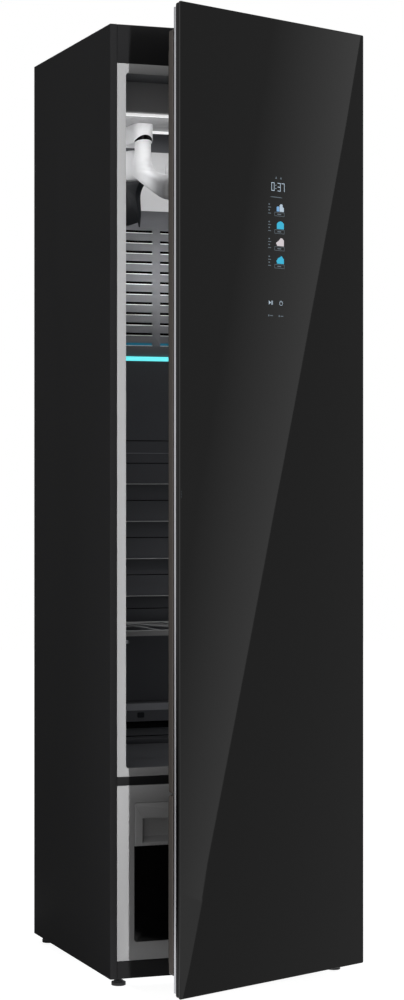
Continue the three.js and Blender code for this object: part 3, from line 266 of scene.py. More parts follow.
# Glossy white ABS of the hangers, and of the slots' lips, where its white is a painted highlight
WHITE_PLASTIC = Finish(
    "white_abs", "white_plastic", "#e6e6e8", "#eeeeef",
    texture=Texture.POLISHED, grain=30.0, relief=0.01, roughness=0.28)
# Frosted acrylic over white lamps
LAMP_WHITE = Finish(
    "lit_frosted_acrylic", "white_light", "#c8c9cb", "#d0d1d3",
    grain=1.0, relief=0.02, roughness=0.5, glow=0.7, light="#ffffff")
# Frosted acrylic over blue-green lamps
LAMP_CYAN = Finish(
    "lit_cyan_acrylic", "cyan_light", "#3fc4c8", "#55d2d6",
    grain=1.0, relief=0.02, roughness=0.4, glow=0.93, light="#72f0f5")
# Polystyrene behind the lowest slots, whose glow paints on the cyan light of the strip under it
PAINTED_STRIP_LIGHT = Finish(
    "painted_strip_light_lining", "liner_plastic", "#0c1c24", "#0e222b",
    grain=2.2, relief=0.02, roughness=0.5, glow=0.55, light="#1c7896")
# Light grey panel whose glow paints on the light that the rear lamp throws on it
LIT_PANEL = Finish(
    "pale_grey_panel_painted_light", "lit_panel", "#b9b9bc", "#c0c0c3",
    grain=1.4, relief=0.02, roughness=0.4, glow=0.26, light="#ffffff")
# Plain bright steel of brackets and the boiler
STEEL = Finish(
    "bright_steel", "steel", "#8d9093", "#a2a5a8",
    texture=Texture.BRUSHED, grain=1.2, relief=0.02, roughness=0.3, spread=0.15, metallic=1.0,
    along=(1.0, 1.0, 0.08))
# Rolled aluminium fins
FINS = Finish(
    "aluminium_fins", "aluminium_fins", "#c4c5c8", "#d0d1d4",
    texture=Texture.BRUSHED, grain=1.0, relief=0.01, roughness=0.3, spread=0.15, metallic=1.0,
    along=(1.0, 1.0, 0.1))
# Green solder mask over copper tracks
BOARD = Finish(
    "solder_mask_board", "circuit_board", "#1f5a3a", "#2a6d48",
    grain=3.5, relief=0.05, roughness=0.35)
# Soft PVC of seals and the lead's collar
SEAL = Finish(
    "grey_seal_pvc", "seal_rubber", "#3a3632", "#423d38",
    grain=1.5, relief=0.03, roughness=0.65)
# Smoked SAN of the water tanks
TANK = Finish(
    "smoked_san_tank", "tank_black", "#060607", "#09090a",
    texture=Texture.POLISHED, grain=50.0, relief=0.02, roughness=0.08, spread=0.04, specular=0.15)
# Glass-filled nylon of the feet
FOOT = Finish(
    "black_nylon", "foot_plastic", "#141415", "#1a1a1b",
    grain=1.0, relief=0.05, roughness=0.55)
# Toughened glass with a black print behind it
GLASS = Finish(
    "black_printed_glass", "black_glass", "#050505", "#070707",
    texture=Texture.POLISHED, grain=400.0, relief=0.02, roughness=0.02, spread=0.015, ior=1.47)
# Satin anodised extrusion, with its die lines along its length
ANODISED = Finish(
    "anodised_aluminium", "aluminium_profile", "#b6b6ba", "#c2c2c6",
    texture=Texture.BRUSHED, grain=0.9, relief=0.01, roughness=0.28, spread=0.12, metallic=1.0,
    along=(1.0, 1.0, 0.02))
# Grey-brown polystyrene of the door's lining
DOOR_SHELL = Finish(
    "grey_brown_polystyrene", "door_shell", "#49433e", "#514a45",
    grain=1.6, relief=0.03, roughness=0.5)
# Lit marks of the display behind the glass
MARK_PALE = Finish(
    "display_pale", "white_light", "#101214", "#14171a",
    texture=Texture.POLISHED, grain=20.0, relief=0.0, roughness=0.3, glow=0.75, light="#c9dcec")
MARK_BLUE = replace(MARK_PALE, name="display_blue", slot="cyan_light", shade="#0c1418", second="#10181c",
                    glow=0.9, light="#2fb6da")
MARK_SKY = replace(MARK_BLUE, name="display_sky", shade="#0e1216", second="#12161a",
                   glow=0.8, light="#7fb8ea")
MARK_ROSE = replace(MARK_PALE, name="display_rose", shade="#141213", second="#181617",
                    glow=0.85, light="#dcd4d8")
MARK_DIM = replace(MARK_PALE, name="display_dim", shade="#0e1012", second="#121416",
                   glow=0.7, light="#6a7780")


# Shared making


def settle(mesh: Mesh, name: str, finish: Finish, body: str = ROOT, stands_for: Sequence[str] = ()) -> None:
    """Turns a finished mesh into a piece of the cabinet.

    Args:
        mesh: the piece's mesh, with its place in its vertices.
        name: the piece's name.
        finish: what it is made of.
        body: the moving body that carries it.
        stands_for: CAD nodes that it is shown in place of.
    """
    mesh.name = name
    mesh.materials.clear()
    mesh.materials.append(finish.material())
    piece = stood(name, mesh)
    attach(piece, body)
    if stands_for:
        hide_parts(*stands_for)
    LOG.info("%s: %d faces of %s", name, len(mesh.polygons), finish.name)


def finished(mesh: Mesh, modifiers: Sequence[tuple[str, dict[str, Any]]]) -> Mesh:
    """Runs modifiers on a mesh and gives the plain result.

    Args:
        mesh: the mesh to start from, which is used up.
        modifiers: type name and settings of each modifier, in order.

    Returns:
        The finished mesh.
    """
    rough = stood("work", mesh)
    for kind, settings in modifiers:
        modifier = rough.modifiers.new(kind.lower(), kind)
        for name, value in settings.items():
            if name.startswith("Socket_"):
                modifier[name] = value
            else:
                setattr(modifier, name, value)
    graph = bpy.context.evaluated_depsgraph_get()
    evaluated = rough.evaluated_get(graph)
    result = bpy.data.meshes.new_from_object(evaluated, preserve_all_data_layers=True, depsgraph=graph)
    rough.modifiers.clear()
    bpy.data.objects.remove(rough)
    return result


def merged_copy(node: str) -> Mesh:
    """Copies a CAD node's mesh, with its corners merged and its flat faces whole.

    Args:
        node: the CAD node.

    Returns:
        The copy, smooth all over.
    """
    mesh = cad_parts[node].data.copy()
    work = bmesh.new()
    work.from_mesh(mesh)
    bmesh.ops.remove_doubles(work, verts=work.verts, dist=MERGE_REACH)
    bmesh.ops.dissolve_limit(work, angle_limit=FLAT_ANGLE, verts=work.verts, edges=work.edges)
    for face in work.faces:
        face.smooth = True
    work.to_mesh(mesh)
    work.free()
    return mesh


def softened(node: str, finish: Finish, width: float, body: str = ROOT, steps: int = 2) -> None:
    """Shows a CAD node with its edges rounded as its real making leaves them.

    Args:
        node: the CAD node.
        finish: what it is made of.
        width: radius of the rounded edges.
        body: the moving body that carries it.
        steps: faces across each rounded edge.
    """
    mesh = finished(merged_copy(node), [("BEVEL", {
        "width": width * MM, "segments": steps, "limit_method": "ANGLE", "angle_limit": ROUNDED_ANGLE,
        "harden_normals": True, "use_clamp_overlap": True,
    })])
    settle(mesh, node + "_finished", finish, body, [node])


def mesh_of(points: Iterable[Point], faces: Iterable[Sequence[int]] = (),
            edges: Sequence[tuple[int, int]] = (), name: str = "work") -> Mesh:
    """Makes a mesh whose faces point outwards.

    Args:
        points: corners.
        faces: numbers of the corners of each face.
        edges: numbers of the two ends of each edge that no face has.
        name: name of the mesh.

    Returns:
        The mesh.
    """
    mesh = bpy.data.meshes.new(name)
    mesh.from_pydata([tuple(c * MM for c in p) for p in points], edges, [tuple(f) for f in faces])
    work = bmesh.new()
    work.from_mesh(mesh)
    bmesh.ops.recalc_face_normals(work, faces=work.faces)
    work.to_mesh(mesh)
    work.free()
    return mesh


def skins(stacks: Iterable[Sequence[Sequence[Point]]]) -> Mesh:
    """Closes a skin over each stack of rings of equal count.

    Args:
        stacks: for each skin its rings, in order, with their points.

    Returns:
        One mesh that holds every skin.
    """
    points: list[Point] = []
    faces: list[Sequence[int]] = []
    for rings in stacks:
        start, count = len(points), len(rings[0])
        points += [point for ring in rings for point in ring]
        end = len(points)
        faces += [range(start, start + count), range(end - 1, end - count - 1, -1)]
        for low in range(start, end - count, count):
            high = low + count
            for i in range(count):
                j = (i + 1) % count
                faces.append((low + i, low + j, high + j, high + i))
    return mesh_of(points, faces)


def plates(outlines: Sequence[Sequence[Flat]], y0: float, y1: float) -> Mesh:
    """Makes flat plates from outlines drawn in x and z.

    Args:
        outlines: corners of each plate.
        y0: front of the plates.
        y1: back of the plates.

    Returns:
        One mesh that holds every plate.
    """
    return skins([[(x, y, z) for x, z in outline] for y in (y0, y1)] for outline in outlines)


# The door's pivot in metres, and its turn from shut to where it stands
HINGE = Vector((236.4 * MM, -278.5 * MM, 0))
REST_TURN = Matrix.Rotation(math.radians(24.1), 4, "Z")


def on_door(mesh: Mesh, name: str, finish: Finish) -> None:
    """Sets a mesh that was drawn with the door shut on the door where it stands.

    Args:
        mesh: the piece's mesh.
        name: the piece's name.
        finish: what it is made of.
    """
    mesh.transform(Matrix.Translation(HINGE) @ REST_TURN @ Matrix.Translation(-HINGE))
    settle(mesh, name, finish, DOOR)


# Things that repeat, made with Geometry Nodes


class Repeat:
    """A tree that sets one small form on every point of a mesh, or runs a round wire along its edges."""

    def __init__(self, name: str, sizes: dict[str, float | Point]) -> None:
        """Starts the tree and its named inputs.

        Args:
            name: name of the tree.
            sizes: name and value of each size, in metres, or an angle in radians.
        """
        self.tree = bpy.data.node_groups.new(name, "GeometryNodeTree")
        face = self.tree.interface
        face.new_socket("Points", in_out="INPUT", socket_type="NodeSocketGeometry")
        face.new_socket("Result", in_out="OUTPUT", socket_type="NodeSocketGeometry")
        self.sockets: dict[str, str] = {}
        self.sizes = sizes
        for label, value in sizes.items():
            kind = "NodeSocketFloat" if isinstance(value, float) else "NodeSocketVector"
            self.sockets[label] = face.new_socket(label, in_out="INPUT", socket_type=kind).identifier
        self.given = add(self.tree, "NodeGroupInput")

    def size(self, label: str) -> Socket:
        """Gives the output that carries a named size, or the points."""
        return self.given.outputs[label]

    def spread(self, form: bpy.types.Node, turn: Point = (0.0, 0.0, 0.0)) -> None:
        """Sets a form on the points and ends the tree.

        Args:
            form: the node that makes the form.
            turn: the form's turn about the axes, in radians.
        """
        placed = add(self.tree, "GeometryNodeInstanceOnPoints", {
            "Points": self.size("Points"), "Instance": form, "Rotation": turn})
        self.close(placed)

    def close(self, shape: bpy.types.Node) -> None:
        """Makes instances real and ends the tree.

        Args:
            shape: the node that makes the whole form.
        """
        real = add(self.tree, "GeometryNodeRealizeInstances", {0: shape})
        add(self.tree, "NodeGroupOutput", {0: real})

    def sweep(self, edges: Socket, radius: str, sides: int, capped: bool) -> None:
        """Runs a round wire along edges and ends the tree.

        Args:
            edges: the output that carries the edges.
            radius: name of the wire's radius.
            sides: faces round the wire.
            capped: whether its ends are closed.
        """
        rail = add(self.tree, "GeometryNodeMeshToCurve", {"Mesh": edges})
        ring = add(self.tree, "GeometryNodeCurvePrimitiveCircle", {
            "Resolution": sides, "Radius": self.size(radius)})
        self.close(add(self.tree, "GeometryNodeCurveToMesh", {
            "Curve": rail, "Profile Curve": ring, "Fill Caps": capped}))

    def run(self, points: Iterable[Point], edges: Sequence[tuple[int, int]] = ()) -> Mesh:
        """Runs the tree.

        Args:
            points: places that the tree takes.
            edges: numbers of the two places that each edge joins.

        Returns:
            The plain result.
        """
        values = {self.sockets[label]: value for label, value in self.sizes.items()}
        return finished(mesh_of(points, edges=edges), [("NODES", {"node_group": self.tree, **values})])


class Facing(Enum):
    """The way that a screw's head looks, as a turn about the axes."""

    BACK = (-math.pi / 2, 0.0, 0.0)
    FRONT = (math.pi / 2, 0.0, 0.0)


HEAD_HEIGHT_SHARE = 0.55
WASHER_WIDTH_SHARE = 1.5
WASHER_HEIGHT_SHARE = 0.3


def screw_heads(points: Iterable[Point], facing: Facing, radius: float = 3.6) -> Mesh:
    """Makes hexagon heads with washers.

    Args:
        points: where the heads sit.
        facing: the way they look.
        radius: the hexagon's radius.

    Returns:
        One mesh of all the heads.
    """
    made = Repeat("screw_heads", {
        "Head radius": radius * MM, "Head height": radius * HEAD_HEIGHT_SHARE * MM})
    tree, head, high = made.tree, made.size("Head radius"), made.size("Head height")
    wide, thin = (add(tree, "ShaderNodeMath", {0: size, 1: share}, operation="MULTIPLY")
                  for size, share in ((head, WASHER_WIDTH_SHARE), (high, WASHER_HEIGHT_SHARE)))
    washer = add(tree, "GeometryNodeMeshCone", {
        "Vertices": 20, "Radius Bottom": wide, "Radius Top": head, "Depth": thin})
    hexagon = add(tree, "GeometryNodeMeshCylinder", {"Vertices": 6, "Radius": head, "Depth": high})
    joined = add(tree, "GeometryNodeJoinGeometry")
    for part in (washer, hexagon):
        tree.links.new(part.outputs[0], joined.inputs[0])
    made.spread(joined, facing.value)
    return made.run(points)


def beading(path: Sequence[Point], radius: float, closed: bool = False) -> Mesh:
    """Runs a round bead along a path.

    Args:
        path: places along the bead's middle.
        radius: the bead's radius.
        closed: whether the path ends where it starts.

    Returns:
        The bead's mesh.
    """
    made = Repeat("beading", {"Bead radius": radius * MM})
    made.sweep(made.size("Points"), "Bead radius", sides=6, capped=True)
    count = len(path)
    return made.run(path, [(i, (i + 1) % count) for i in range(count if closed else count - 1)])


def box(x0: float, x1: float, z0: float, z1: float) -> list[Flat]:
    """Gives the corners of a rectangle from its left, right, foot and top."""
    return [(x0, z0), (x1, z0), (x1, z1), (x0, z1)]


def rounded(x: Flat, z: Flat, radius: float, steps: int = 4) -> list[Flat]:
    """Gives the corners of a rectangle with round corners.

    Args:
        x: lowest and highest across.
        z: lowest and highest up.
        radius: radius of the corners.
        steps: points on each corner.

    Returns:
        Points in order round the outline.
    """
    outline = []
    for turn, (cx, cz) in enumerate([(x[1] - radius, z[0] + radius), (x[1] - radius, z[1] - radius),
                                     (x[0] + radius, z[1] - radius), (x[0] + radius, z[0] + radius)]):
        for i in range(steps + 1):
            angle = math.pi / 2 * (turn - 1 + i / steps)
            outline.append((cx + radius * math.cos(angle), cz + radius * math.sin(angle)))
    return outline


# The cabinet's sub-assemblies


@dataclass
class Casing:
    """The black sheet-steel body with its galvanised back and base."""

    half_width: float = 250.0
    back: float = 260.0
    edge: float = 0.7
    screw_inset: float = 11.0
    screw_proud: float = 0.9
    screw_rows: tuple[float, ...] = (30.0, 380.0, 760.0, 1140.0, 1520.0, 1800.0)
    bracket_edge: float = 0.4
    bracket_face: float = -264.6
    bracket_columns: Flat = (215.0, 224.0)
    bracket_rows: tuple[float, ...] = (1778.0, 1808.0, 52.0, 22.0)
    bracket_head: float = 2.6

    def build(self) -> None:
        """Dresses the panels and hinge brackets and adds the back's and the brackets' screws."""
        for node in ("left_side_panel", "right_side_panel", "top_cover"):
            softened(node, POWDER_COAT, self.edge)
        x, y = self.half_width - self.screw_inset, self.back + self.screw_proud
        places = [(side * x, y, z) for z in self.screw_rows for side in (-1, 1)]
        places += [(0.0, y, z) for z in (self.screw_rows[0], self.screw_rows[-1])]
        settle(screw_heads(places, Facing.BACK), "back_panel_screws", STEEL)
        places = [(x, self.bracket_face, z) for x in self.bracket_columns for z in self.bracket_rows]
        heads = screw_heads(places, Facing.FRONT, self.bracket_head)
        settle(heads, "hinge_bracket_screws", STEEL)
        for node in ("top_hinge_bracket", "bottom_hinge_bracket"):
            softened(node, STEEL, self.bracket_edge)


@dataclass
class EdgedParts:
    """Parts shown as their solids, each as its node, finish, edge radius, body and faces across an edge."""

    parts: tuple[tuple[str, Finish, float, str, int], ...]

    def build(self) -> None:
        """Dresses the parts."""
        for part in self.parts:
            softened(*part)


# Black bands and light grey frames across the front
FRONT_BANDS = EdgedParts((
    ("header_panel", SATIN_BLACK, 1.4, ROOT, 3), ("cross_bar", SATIN_BLACK, 1.4, ROOT, 3),
    ("base_trim", SATIN_BLACK, 1.4, ROOT, 3), ("chamber_front_frame", FRAME_GREY, 1.2, ROOT, 3),
    ("lower_front_frame", FRAME_GREY, 1.2, ROOT, 3)))
# The two water tanks with scooped grips, and their tray
TANK_BAY = EdgedParts((
    ("supply_tank_front", FRAME_GREY, 1.6, "supply_tank_drawer", 3),
    ("supply_tank", TANK, 1.6, "supply_tank_drawer", 3), ("drain_tank_front", FRAME_GREY, 1.6, ROOT, 3),
    ("drain_tank", TANK, 1.6, ROOT, 3), ("tank_tray", DARK_PLASTIC, 0.8, ROOT, 2)))
# The levelling feet
FEET = EdgedParts(tuple(("levelling_foot_" + corner, FOOT, 0.5, "foot_" + corner, 2)
                        for corner in ("front_left", "front_right", "rear_left", "rear_right")))


@dataclass
class Chamber:
    """The hanging chamber: air housing, lamps, rear covers, filter and shelf."""

    cover_face: float = 193.4
    cover_half: float = 217.2
    slot_rows: int = 12
    slot_top: float = 1487.2
    slot_pitch: float = 21.71
    slot_height: float = 5.0
    slot_gap: float = 9.0
    slot_inset: float = 24.0
    slot_lip: Flat = (3.0, 1.4)
    lip_proud: float = 0.3
    duct_sheet_depth: float = 9.0
    duct_sheet_wall: float = 0.6
    duct_sheet_inset: float = 5.0
    duct_sheet_over: float = 6.0
    strip_rise: float = 11.0
    strip_proud: Flat = (0.7, 0.1)
    louvre_beads: tuple[float, ...] = (949.5, 870.75, 792.0, 713.25)
    louvre_proud: float = 20.0
    bead_inset: float = 1.0
    joint: float = 1014.8
    joint_proud: float = 0.2
    creases: tuple[float, ...] = (1041.2, 993.7, 914.8, 836.2, 757.4, 686.0)
    crease_height: float = 1.6
    mark_proud: float = 0.3
    mark_sunk: float = 0.2
    bar_share: float = 0.62
    bar_edge: float = 1.0
    filter_face: float = 151.4
    lid: Flat = (474.0, 488.4)
    lid_proud: float = 0.8
    catch: Flat = (459.0, 470.0)
    catch_half: float = 7.5
    catch_proud: float = 1.6
    catch_places: Flat = (-49.0, 49.0)
    air_gaps: tuple[Flat, ...] = ((436.5, 451.0), (419.5, 421.5))
    mesh_size: Flat = (322.0, 62.0)
    mesh_wires: tuple[int, int] = (65, 13)
    mesh_middle: Point = (0.0, 166.5, 441.5)
    wire_radius: float = 0.35

    def build(self) -> None:
        """Dresses the mouldings and adds their lips, beads, sheets, mesh and filter front."""
        softened("ceiling_air_housing", FRAME_GREY, 1.0)
        softened("slotted_duct_cover", SLOT_PLASTIC, 0.8, steps=1)
        softened("lit_back_panel", LIT_PANEL, 1.0)
        for node in ("lower_duct_cover", "filter_housing"):
            softened(node, DARK_PLASTIC, 0.8, steps=1)
        softened("lint_filter", LINER, 0.6, "filter")
        softened("clothes_shelf", FRAME_GREY, 1.2, "shelf")
        softened("accent_light_strip", LAMP_CYAN, 1.0)
        self.light_bars()
        self.slot_lip_highlights()
        self.duct_lining()
        self.louvre_edges()
        self.lint_mesh()
        self.filter_front()

    def light_bars(self) -> None:
        """Shows the two light bars, a little slimmer than the channels that hold them."""
        for node in ("front_light_bar", "rear_light_bar"):
            mesh = merged_copy(node)
            top = max(vertex.co.z for vertex in mesh.vertices)
            for vertex in mesh.vertices:
                vertex.co.z = top - (top - vertex.co.z) * self.bar_share
            rounding = {"width": self.bar_edge * MM, "segments": 2, "limit_method": "ANGLE"}
            settle(finished(mesh, [("BEVEL", rounding)]), node + "_finished", LAMP_WHITE, ROOT, [node])

    def slot_lip_highlights(self) -> None:
        """Adds the rolled lower lip of every air slot, in white plastic whose brightness is a painted
        highlight.
        """
        outer = self.cover_half - self.slot_inset
        middle, width = (outer + self.slot_gap) / 2, outer - self.slot_gap
        top = self.slot_top - self.slot_height - self.slot_lip[1] / 2
        places = [(side * middle, self.cover_face - self.lip_proud, top - row * self.slot_pitch)
                  for row in range(self.slot_rows) for side in (-1, 1)]
        made = Repeat("bars", {"Bar size": tuple(s * MM for s in (width, *self.slot_lip))})
        made.spread(add(made.tree, "GeometryNodeMeshCube", {"Size": made.size("Bar size")}))
        settle(made.run(places), "air_slot_lip_highlights", WHITE_PLASTIC)

    def sheet(self, name: str, finish: Finish, y: Flat, heights: Sequence[Flat],
              inset: float, corner: float) -> None:
        """Lays flat sheets across the chamber.

        Args:
            name: the piece's name.
            finish: what it is made of.
            y: front and back of the sheets.
            heights: lowest and highest of each sheet.
            inset: how far they end before the cover's sides.
            corner: radius of their corners.
        """
        half = self.cover_half - inset
        outlines = [rounded((-half, half), z, corner) for z in heights]
        settle(plates(outlines, *y), name, finish)

    def bead(self, name: str, finish: Finish, y: float, z: float, radius: float) -> None:
        """Runs a bead across the chamber.

        Args:
            name: the piece's name.
            finish: what it is made of.
            y: its depth.
            z: its height.
            radius: its radius.
        """
        half = self.cover_half - self.bead_inset
        settle(beading([(-half, y, z), (half, y, z)], radius), name, finish)

    def duct_lining(self) -> None:
        """Hangs a black sheet behind the slots that paints the shade inside the duct, and behind the lowest
        of them a sheet whose glow paints the light strip's cyan light.
        """
        low, front = self.slot_top - self.slot_rows * self.slot_pitch, self.cover_face + self.duct_sheet_depth
        high = self.slot_top + self.duct_sheet_over
        # The black sheet paints the shade inside the duct behind the slots
        self.sheet("air_duct_shade_sheet", GLOSS_BLACK, (front, front + self.duct_sheet_wall), [(low, high)],
                   self.duct_sheet_inset, corner=2.0)
        # A glowing sheet paints the strip's cyan light on the lining behind the lowest slots
        strip = (front - self.strip_proud[0], front - self.strip_proud[1])
        span = (low + self.strip_rise, low + self.slot_pitch + self.duct_sheet_over)
        self.sheet("air_duct_painted_strip_light", PAINTED_STRIP_LIGHT, strip, [span], self.duct_sheet_inset, corner=2.0)

    def louvre_edges(self) -> None:
        """Adds the louvres' beads and the bead along the covers' joint, whose light grey paints their
        highlight, and black sheets that paint the shadow in the louvres' folds.
        """
        for number, z in enumerate(self.louvre_beads, 1):
            self.bead(f"louvre_highlight_bead_{number}", FRAME_GREY, self.cover_face - self.louvre_proud, z, radius=1.0)
        # Thin black sheets at the folds paint the shadow in each crease
        half, proud, sunk = self.crease_height / 2, self.mark_proud, self.mark_sunk
        self.sheet("lower_cover_crease_shadows", GLOSS_BLACK, (self.cover_face - proud, self.cover_face + sunk),
                   [(z - half, z + half) for z in self.creases], self.bead_inset, corner=0.6)
        self.bead("cover_joint_highlight_bead", MID_PLASTIC, self.cover_face - self.joint_proud, self.joint, radius=0.7)

    def lint_mesh(self) -> None:
        """Weaves the wire mesh of the lint filter."""
        (width, height), (across, up) = self.mesh_size, self.mesh_wires
        made = Repeat("lint_mesh", {
            "Wire radius": self.wire_radius * MM, "Mesh width": width * MM, "Mesh height": height * MM})
        grid = add(made.tree, "GeometryNodeMeshGrid", {
            "Size X": made.size("Mesh width"), "Size Y": made.size("Mesh height"),
            "Vertices X": across, "Vertices Y": up})
        upright = add(made.tree, "GeometryNodeTransform", {
            "Geometry": grid, "Translation": tuple(c * MM for c in self.mesh_middle),
            "Rotation": Facing.FRONT.value})
        made.sweep(upright.outputs[0], "Wire radius", sides=4, capped=False)
        settle(made.run([(0, 0, 0)]), "lint_filter_mesh", STEEL, "filter")

    def filter_front(self) -> None:
        """Adds the lid, the two catches and black bands that paint the shade in the gaps on the front of the
        filter housing.
        """
        half, face, back = self.catch_half, self.filter_face, self.filter_face + self.mark_sunk
        self.sheet("filter_housing_lid", MID_PLASTIC, (face - self.lid_proud, back), [self.lid],
                   self.bead_inset, corner=1.5)
        catches = [rounded((x - half, x + half), self.catch, radius=2.5) for x in self.catch_places]
        settle(plates(catches, face - self.catch_proud, back), "filter_housing_catches", NOZZLE)
        # Black bands paint the shade in the housing's gaps
        self.sheet("filter_housing_gap_shadows", GLOSS_BLACK, (face - self.mark_proud, back), self.air_gaps,
                   self.bead_inset, corner=1.0)


@dataclass
class AirHangers:
    """Three moulded air hangers, each under its bracket, with a blade that blows down."""

    pitch: float = 106.0
    place: float = -30.0
    bracket_half: float = 20.0
    arch_radius: float = 22.0
    arch_middle: float = 1632.0
    bracket_bottom: float = 1640.0
    arch_insets: Flat = (0.3, 1.15)
    arch_drop: float = 0.25
    arch_lift: float = 0.2
    arch_least: float = 0.6
    arch_steps: int = 24
    sweep: float = math.radians(76)
    ring_rise: float = 4.5
    remesh_grain: float = 1.8
    relaxed: int = 10

    def build(self) -> None:
        """Makes the three hangers, each one moulding whose forms flow together, and their brackets."""
        flow = [("REMESH", {"mode": "VOXEL", "voxel_size": self.remesh_grain * MM, "use_smooth_shade": True}),
                ("SMOOTH", {"factor": 0.5, "iterations": self.relaxed})]
        for number, x in enumerate((-self.pitch, 0.0, self.pitch), 1):
            body, node = f"hanger_{number}", f"air_hanger_{number}"
            settle(finished(merged_copy(node), flow), node + "_moulded", WHITE_PLASTIC, body, [node])
            softened(f"hanger_nozzle_{number}", NOZZLE, 0.9, body)
            softened(f"hanger_bracket_{number}", WHITE_PLASTIC, 1.2)
            self.arch(x, number)

    def arch(self, x: float, number: int) -> None:
        """Adds the dark arch that frames a hanger's ring.

        Args:
            x: the hanger's place across.
            number: which of the three it is.
        """
        rings = []
        for step in range(self.arch_steps + 1):
            angle = self.sweep * (2 * step / self.arch_steps - 1)
            outer, inner = (self.bracket_half - inset for inset in self.arch_insets)
            across = outer * math.sin(angle)
            top = self.arch_middle + math.sqrt(self.arch_radius ** 2 - across ** 2) - self.arch_drop
            rise = self.arch_lift + self.ring_rise * math.cos(angle / self.sweep * math.pi / 2)
            low = min(self.bracket_bottom + rise, top - self.arch_least)
            rings.append([
                (x + r * math.sin(angle), self.place - r * math.cos(angle), z)
                for r, z in ((outer, low), (outer, top), (inner, top), (inner, low))
            ])
        settle(skins([rings]), f"hanger_arch_{number}", GLOSS_BLACK)


@dataclass
class PlainParts:
    """Parts shown as their solids are: machinery, linings, foam, sheet metal and the display's board."""

    finishes: dict[str, Finish] = field(default_factory=lambda: {
        "steam_generator": STEEL, "compressor": POWDER_COAT, "heat_exchanger": FINS,
        "circulation_fan_casing": DARK_PLASTIC, "circulation_fan_impeller": WHITE_PLASTIC,
        "jet_fan_casing": DARK_PLASTIC, "jet_fan_impeller": WHITE_PLASTIC, "control_board": BOARD,
        "mains_inlet": SEAL, "insulation": FOAM, "chamber_liner": LINER, "base_pan": GALVANISED,
        "back_panel": GALVANISED, "door_display_module": BOARD, "door_core": FOAM,
    })

    def build(self) -> None:
        """Gives every part its finish."""
        for node, finish in self.finishes.items():
            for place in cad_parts[node].material_slots:
                place.material = finish.material()


class Stroke(Enum):
    """Bars of a seven-bar digit, as left, right, low and high shares of its box."""

    TOP = (0.0, 1.0, 0.92, 1.0)
    MIDDLE = (0.0, 1.0, 0.46, 0.54)
    BOTTOM = (0.0, 1.0, 0.0, 0.08)
    LEFT_TOP = (0.0, 0.14, 0.5, 1.0)
    LEFT_BOTTOM = (0.0, 0.14, 0.0, 0.5)
    RIGHT_TOP = (0.86, 1.0, 0.5, 1.0)
    RIGHT_BOTTOM = (0.86, 1.0, 0.0, 0.5)


DIGITS: dict[str, tuple[Stroke, ...]] = {
    "0": tuple(stroke for stroke in Stroke if stroke is not Stroke.MIDDLE),
    "3": (Stroke.TOP, Stroke.MIDDLE, Stroke.BOTTOM, Stroke.RIGHT_TOP, Stroke.RIGHT_BOTTOM),
    "7": (Stroke.TOP, Stroke.RIGHT_TOP, Stroke.RIGHT_BOTTOM),
}

# Each programme's sign of hanging clothes, as lights and outlines about the sign's place
GARMENTS = (
    ((MARK_SKY, [(5, -14.5), (12, -14.5), (12, -5.5), (8.5, -4.6), (5, -6)]),
     (MARK_PALE, [(13, -14.5), (24.5, -14.5), (24.5, -7), (21, -5), (21, -1), (18, 0), (15, -0.6),
                  (13, -3)])),
    ((MARK_BLUE, [(5.5, -14.5), (24.5, -14.5), (24.5, -4), (20, -0.5), (15, 0.5), (9, -1.5), (5.5, -5)]),),
    ((MARK_ROSE, [(6, -14.5), (24.5, -14.5), (24.5, -3.5), (20.5, 0), (16, 0.8), (10, -5), (4, -8.5),
                  (3.4, -11), (6, -12.5)]),),
    ((MARK_BLUE, [(5.5, -14.5), (24.5, -14.5), (24.5, -6), (22, -3), (18, 0.5), (14, -2), (9, -4), (4, -10),
                  (6, -12.5)]),),
)


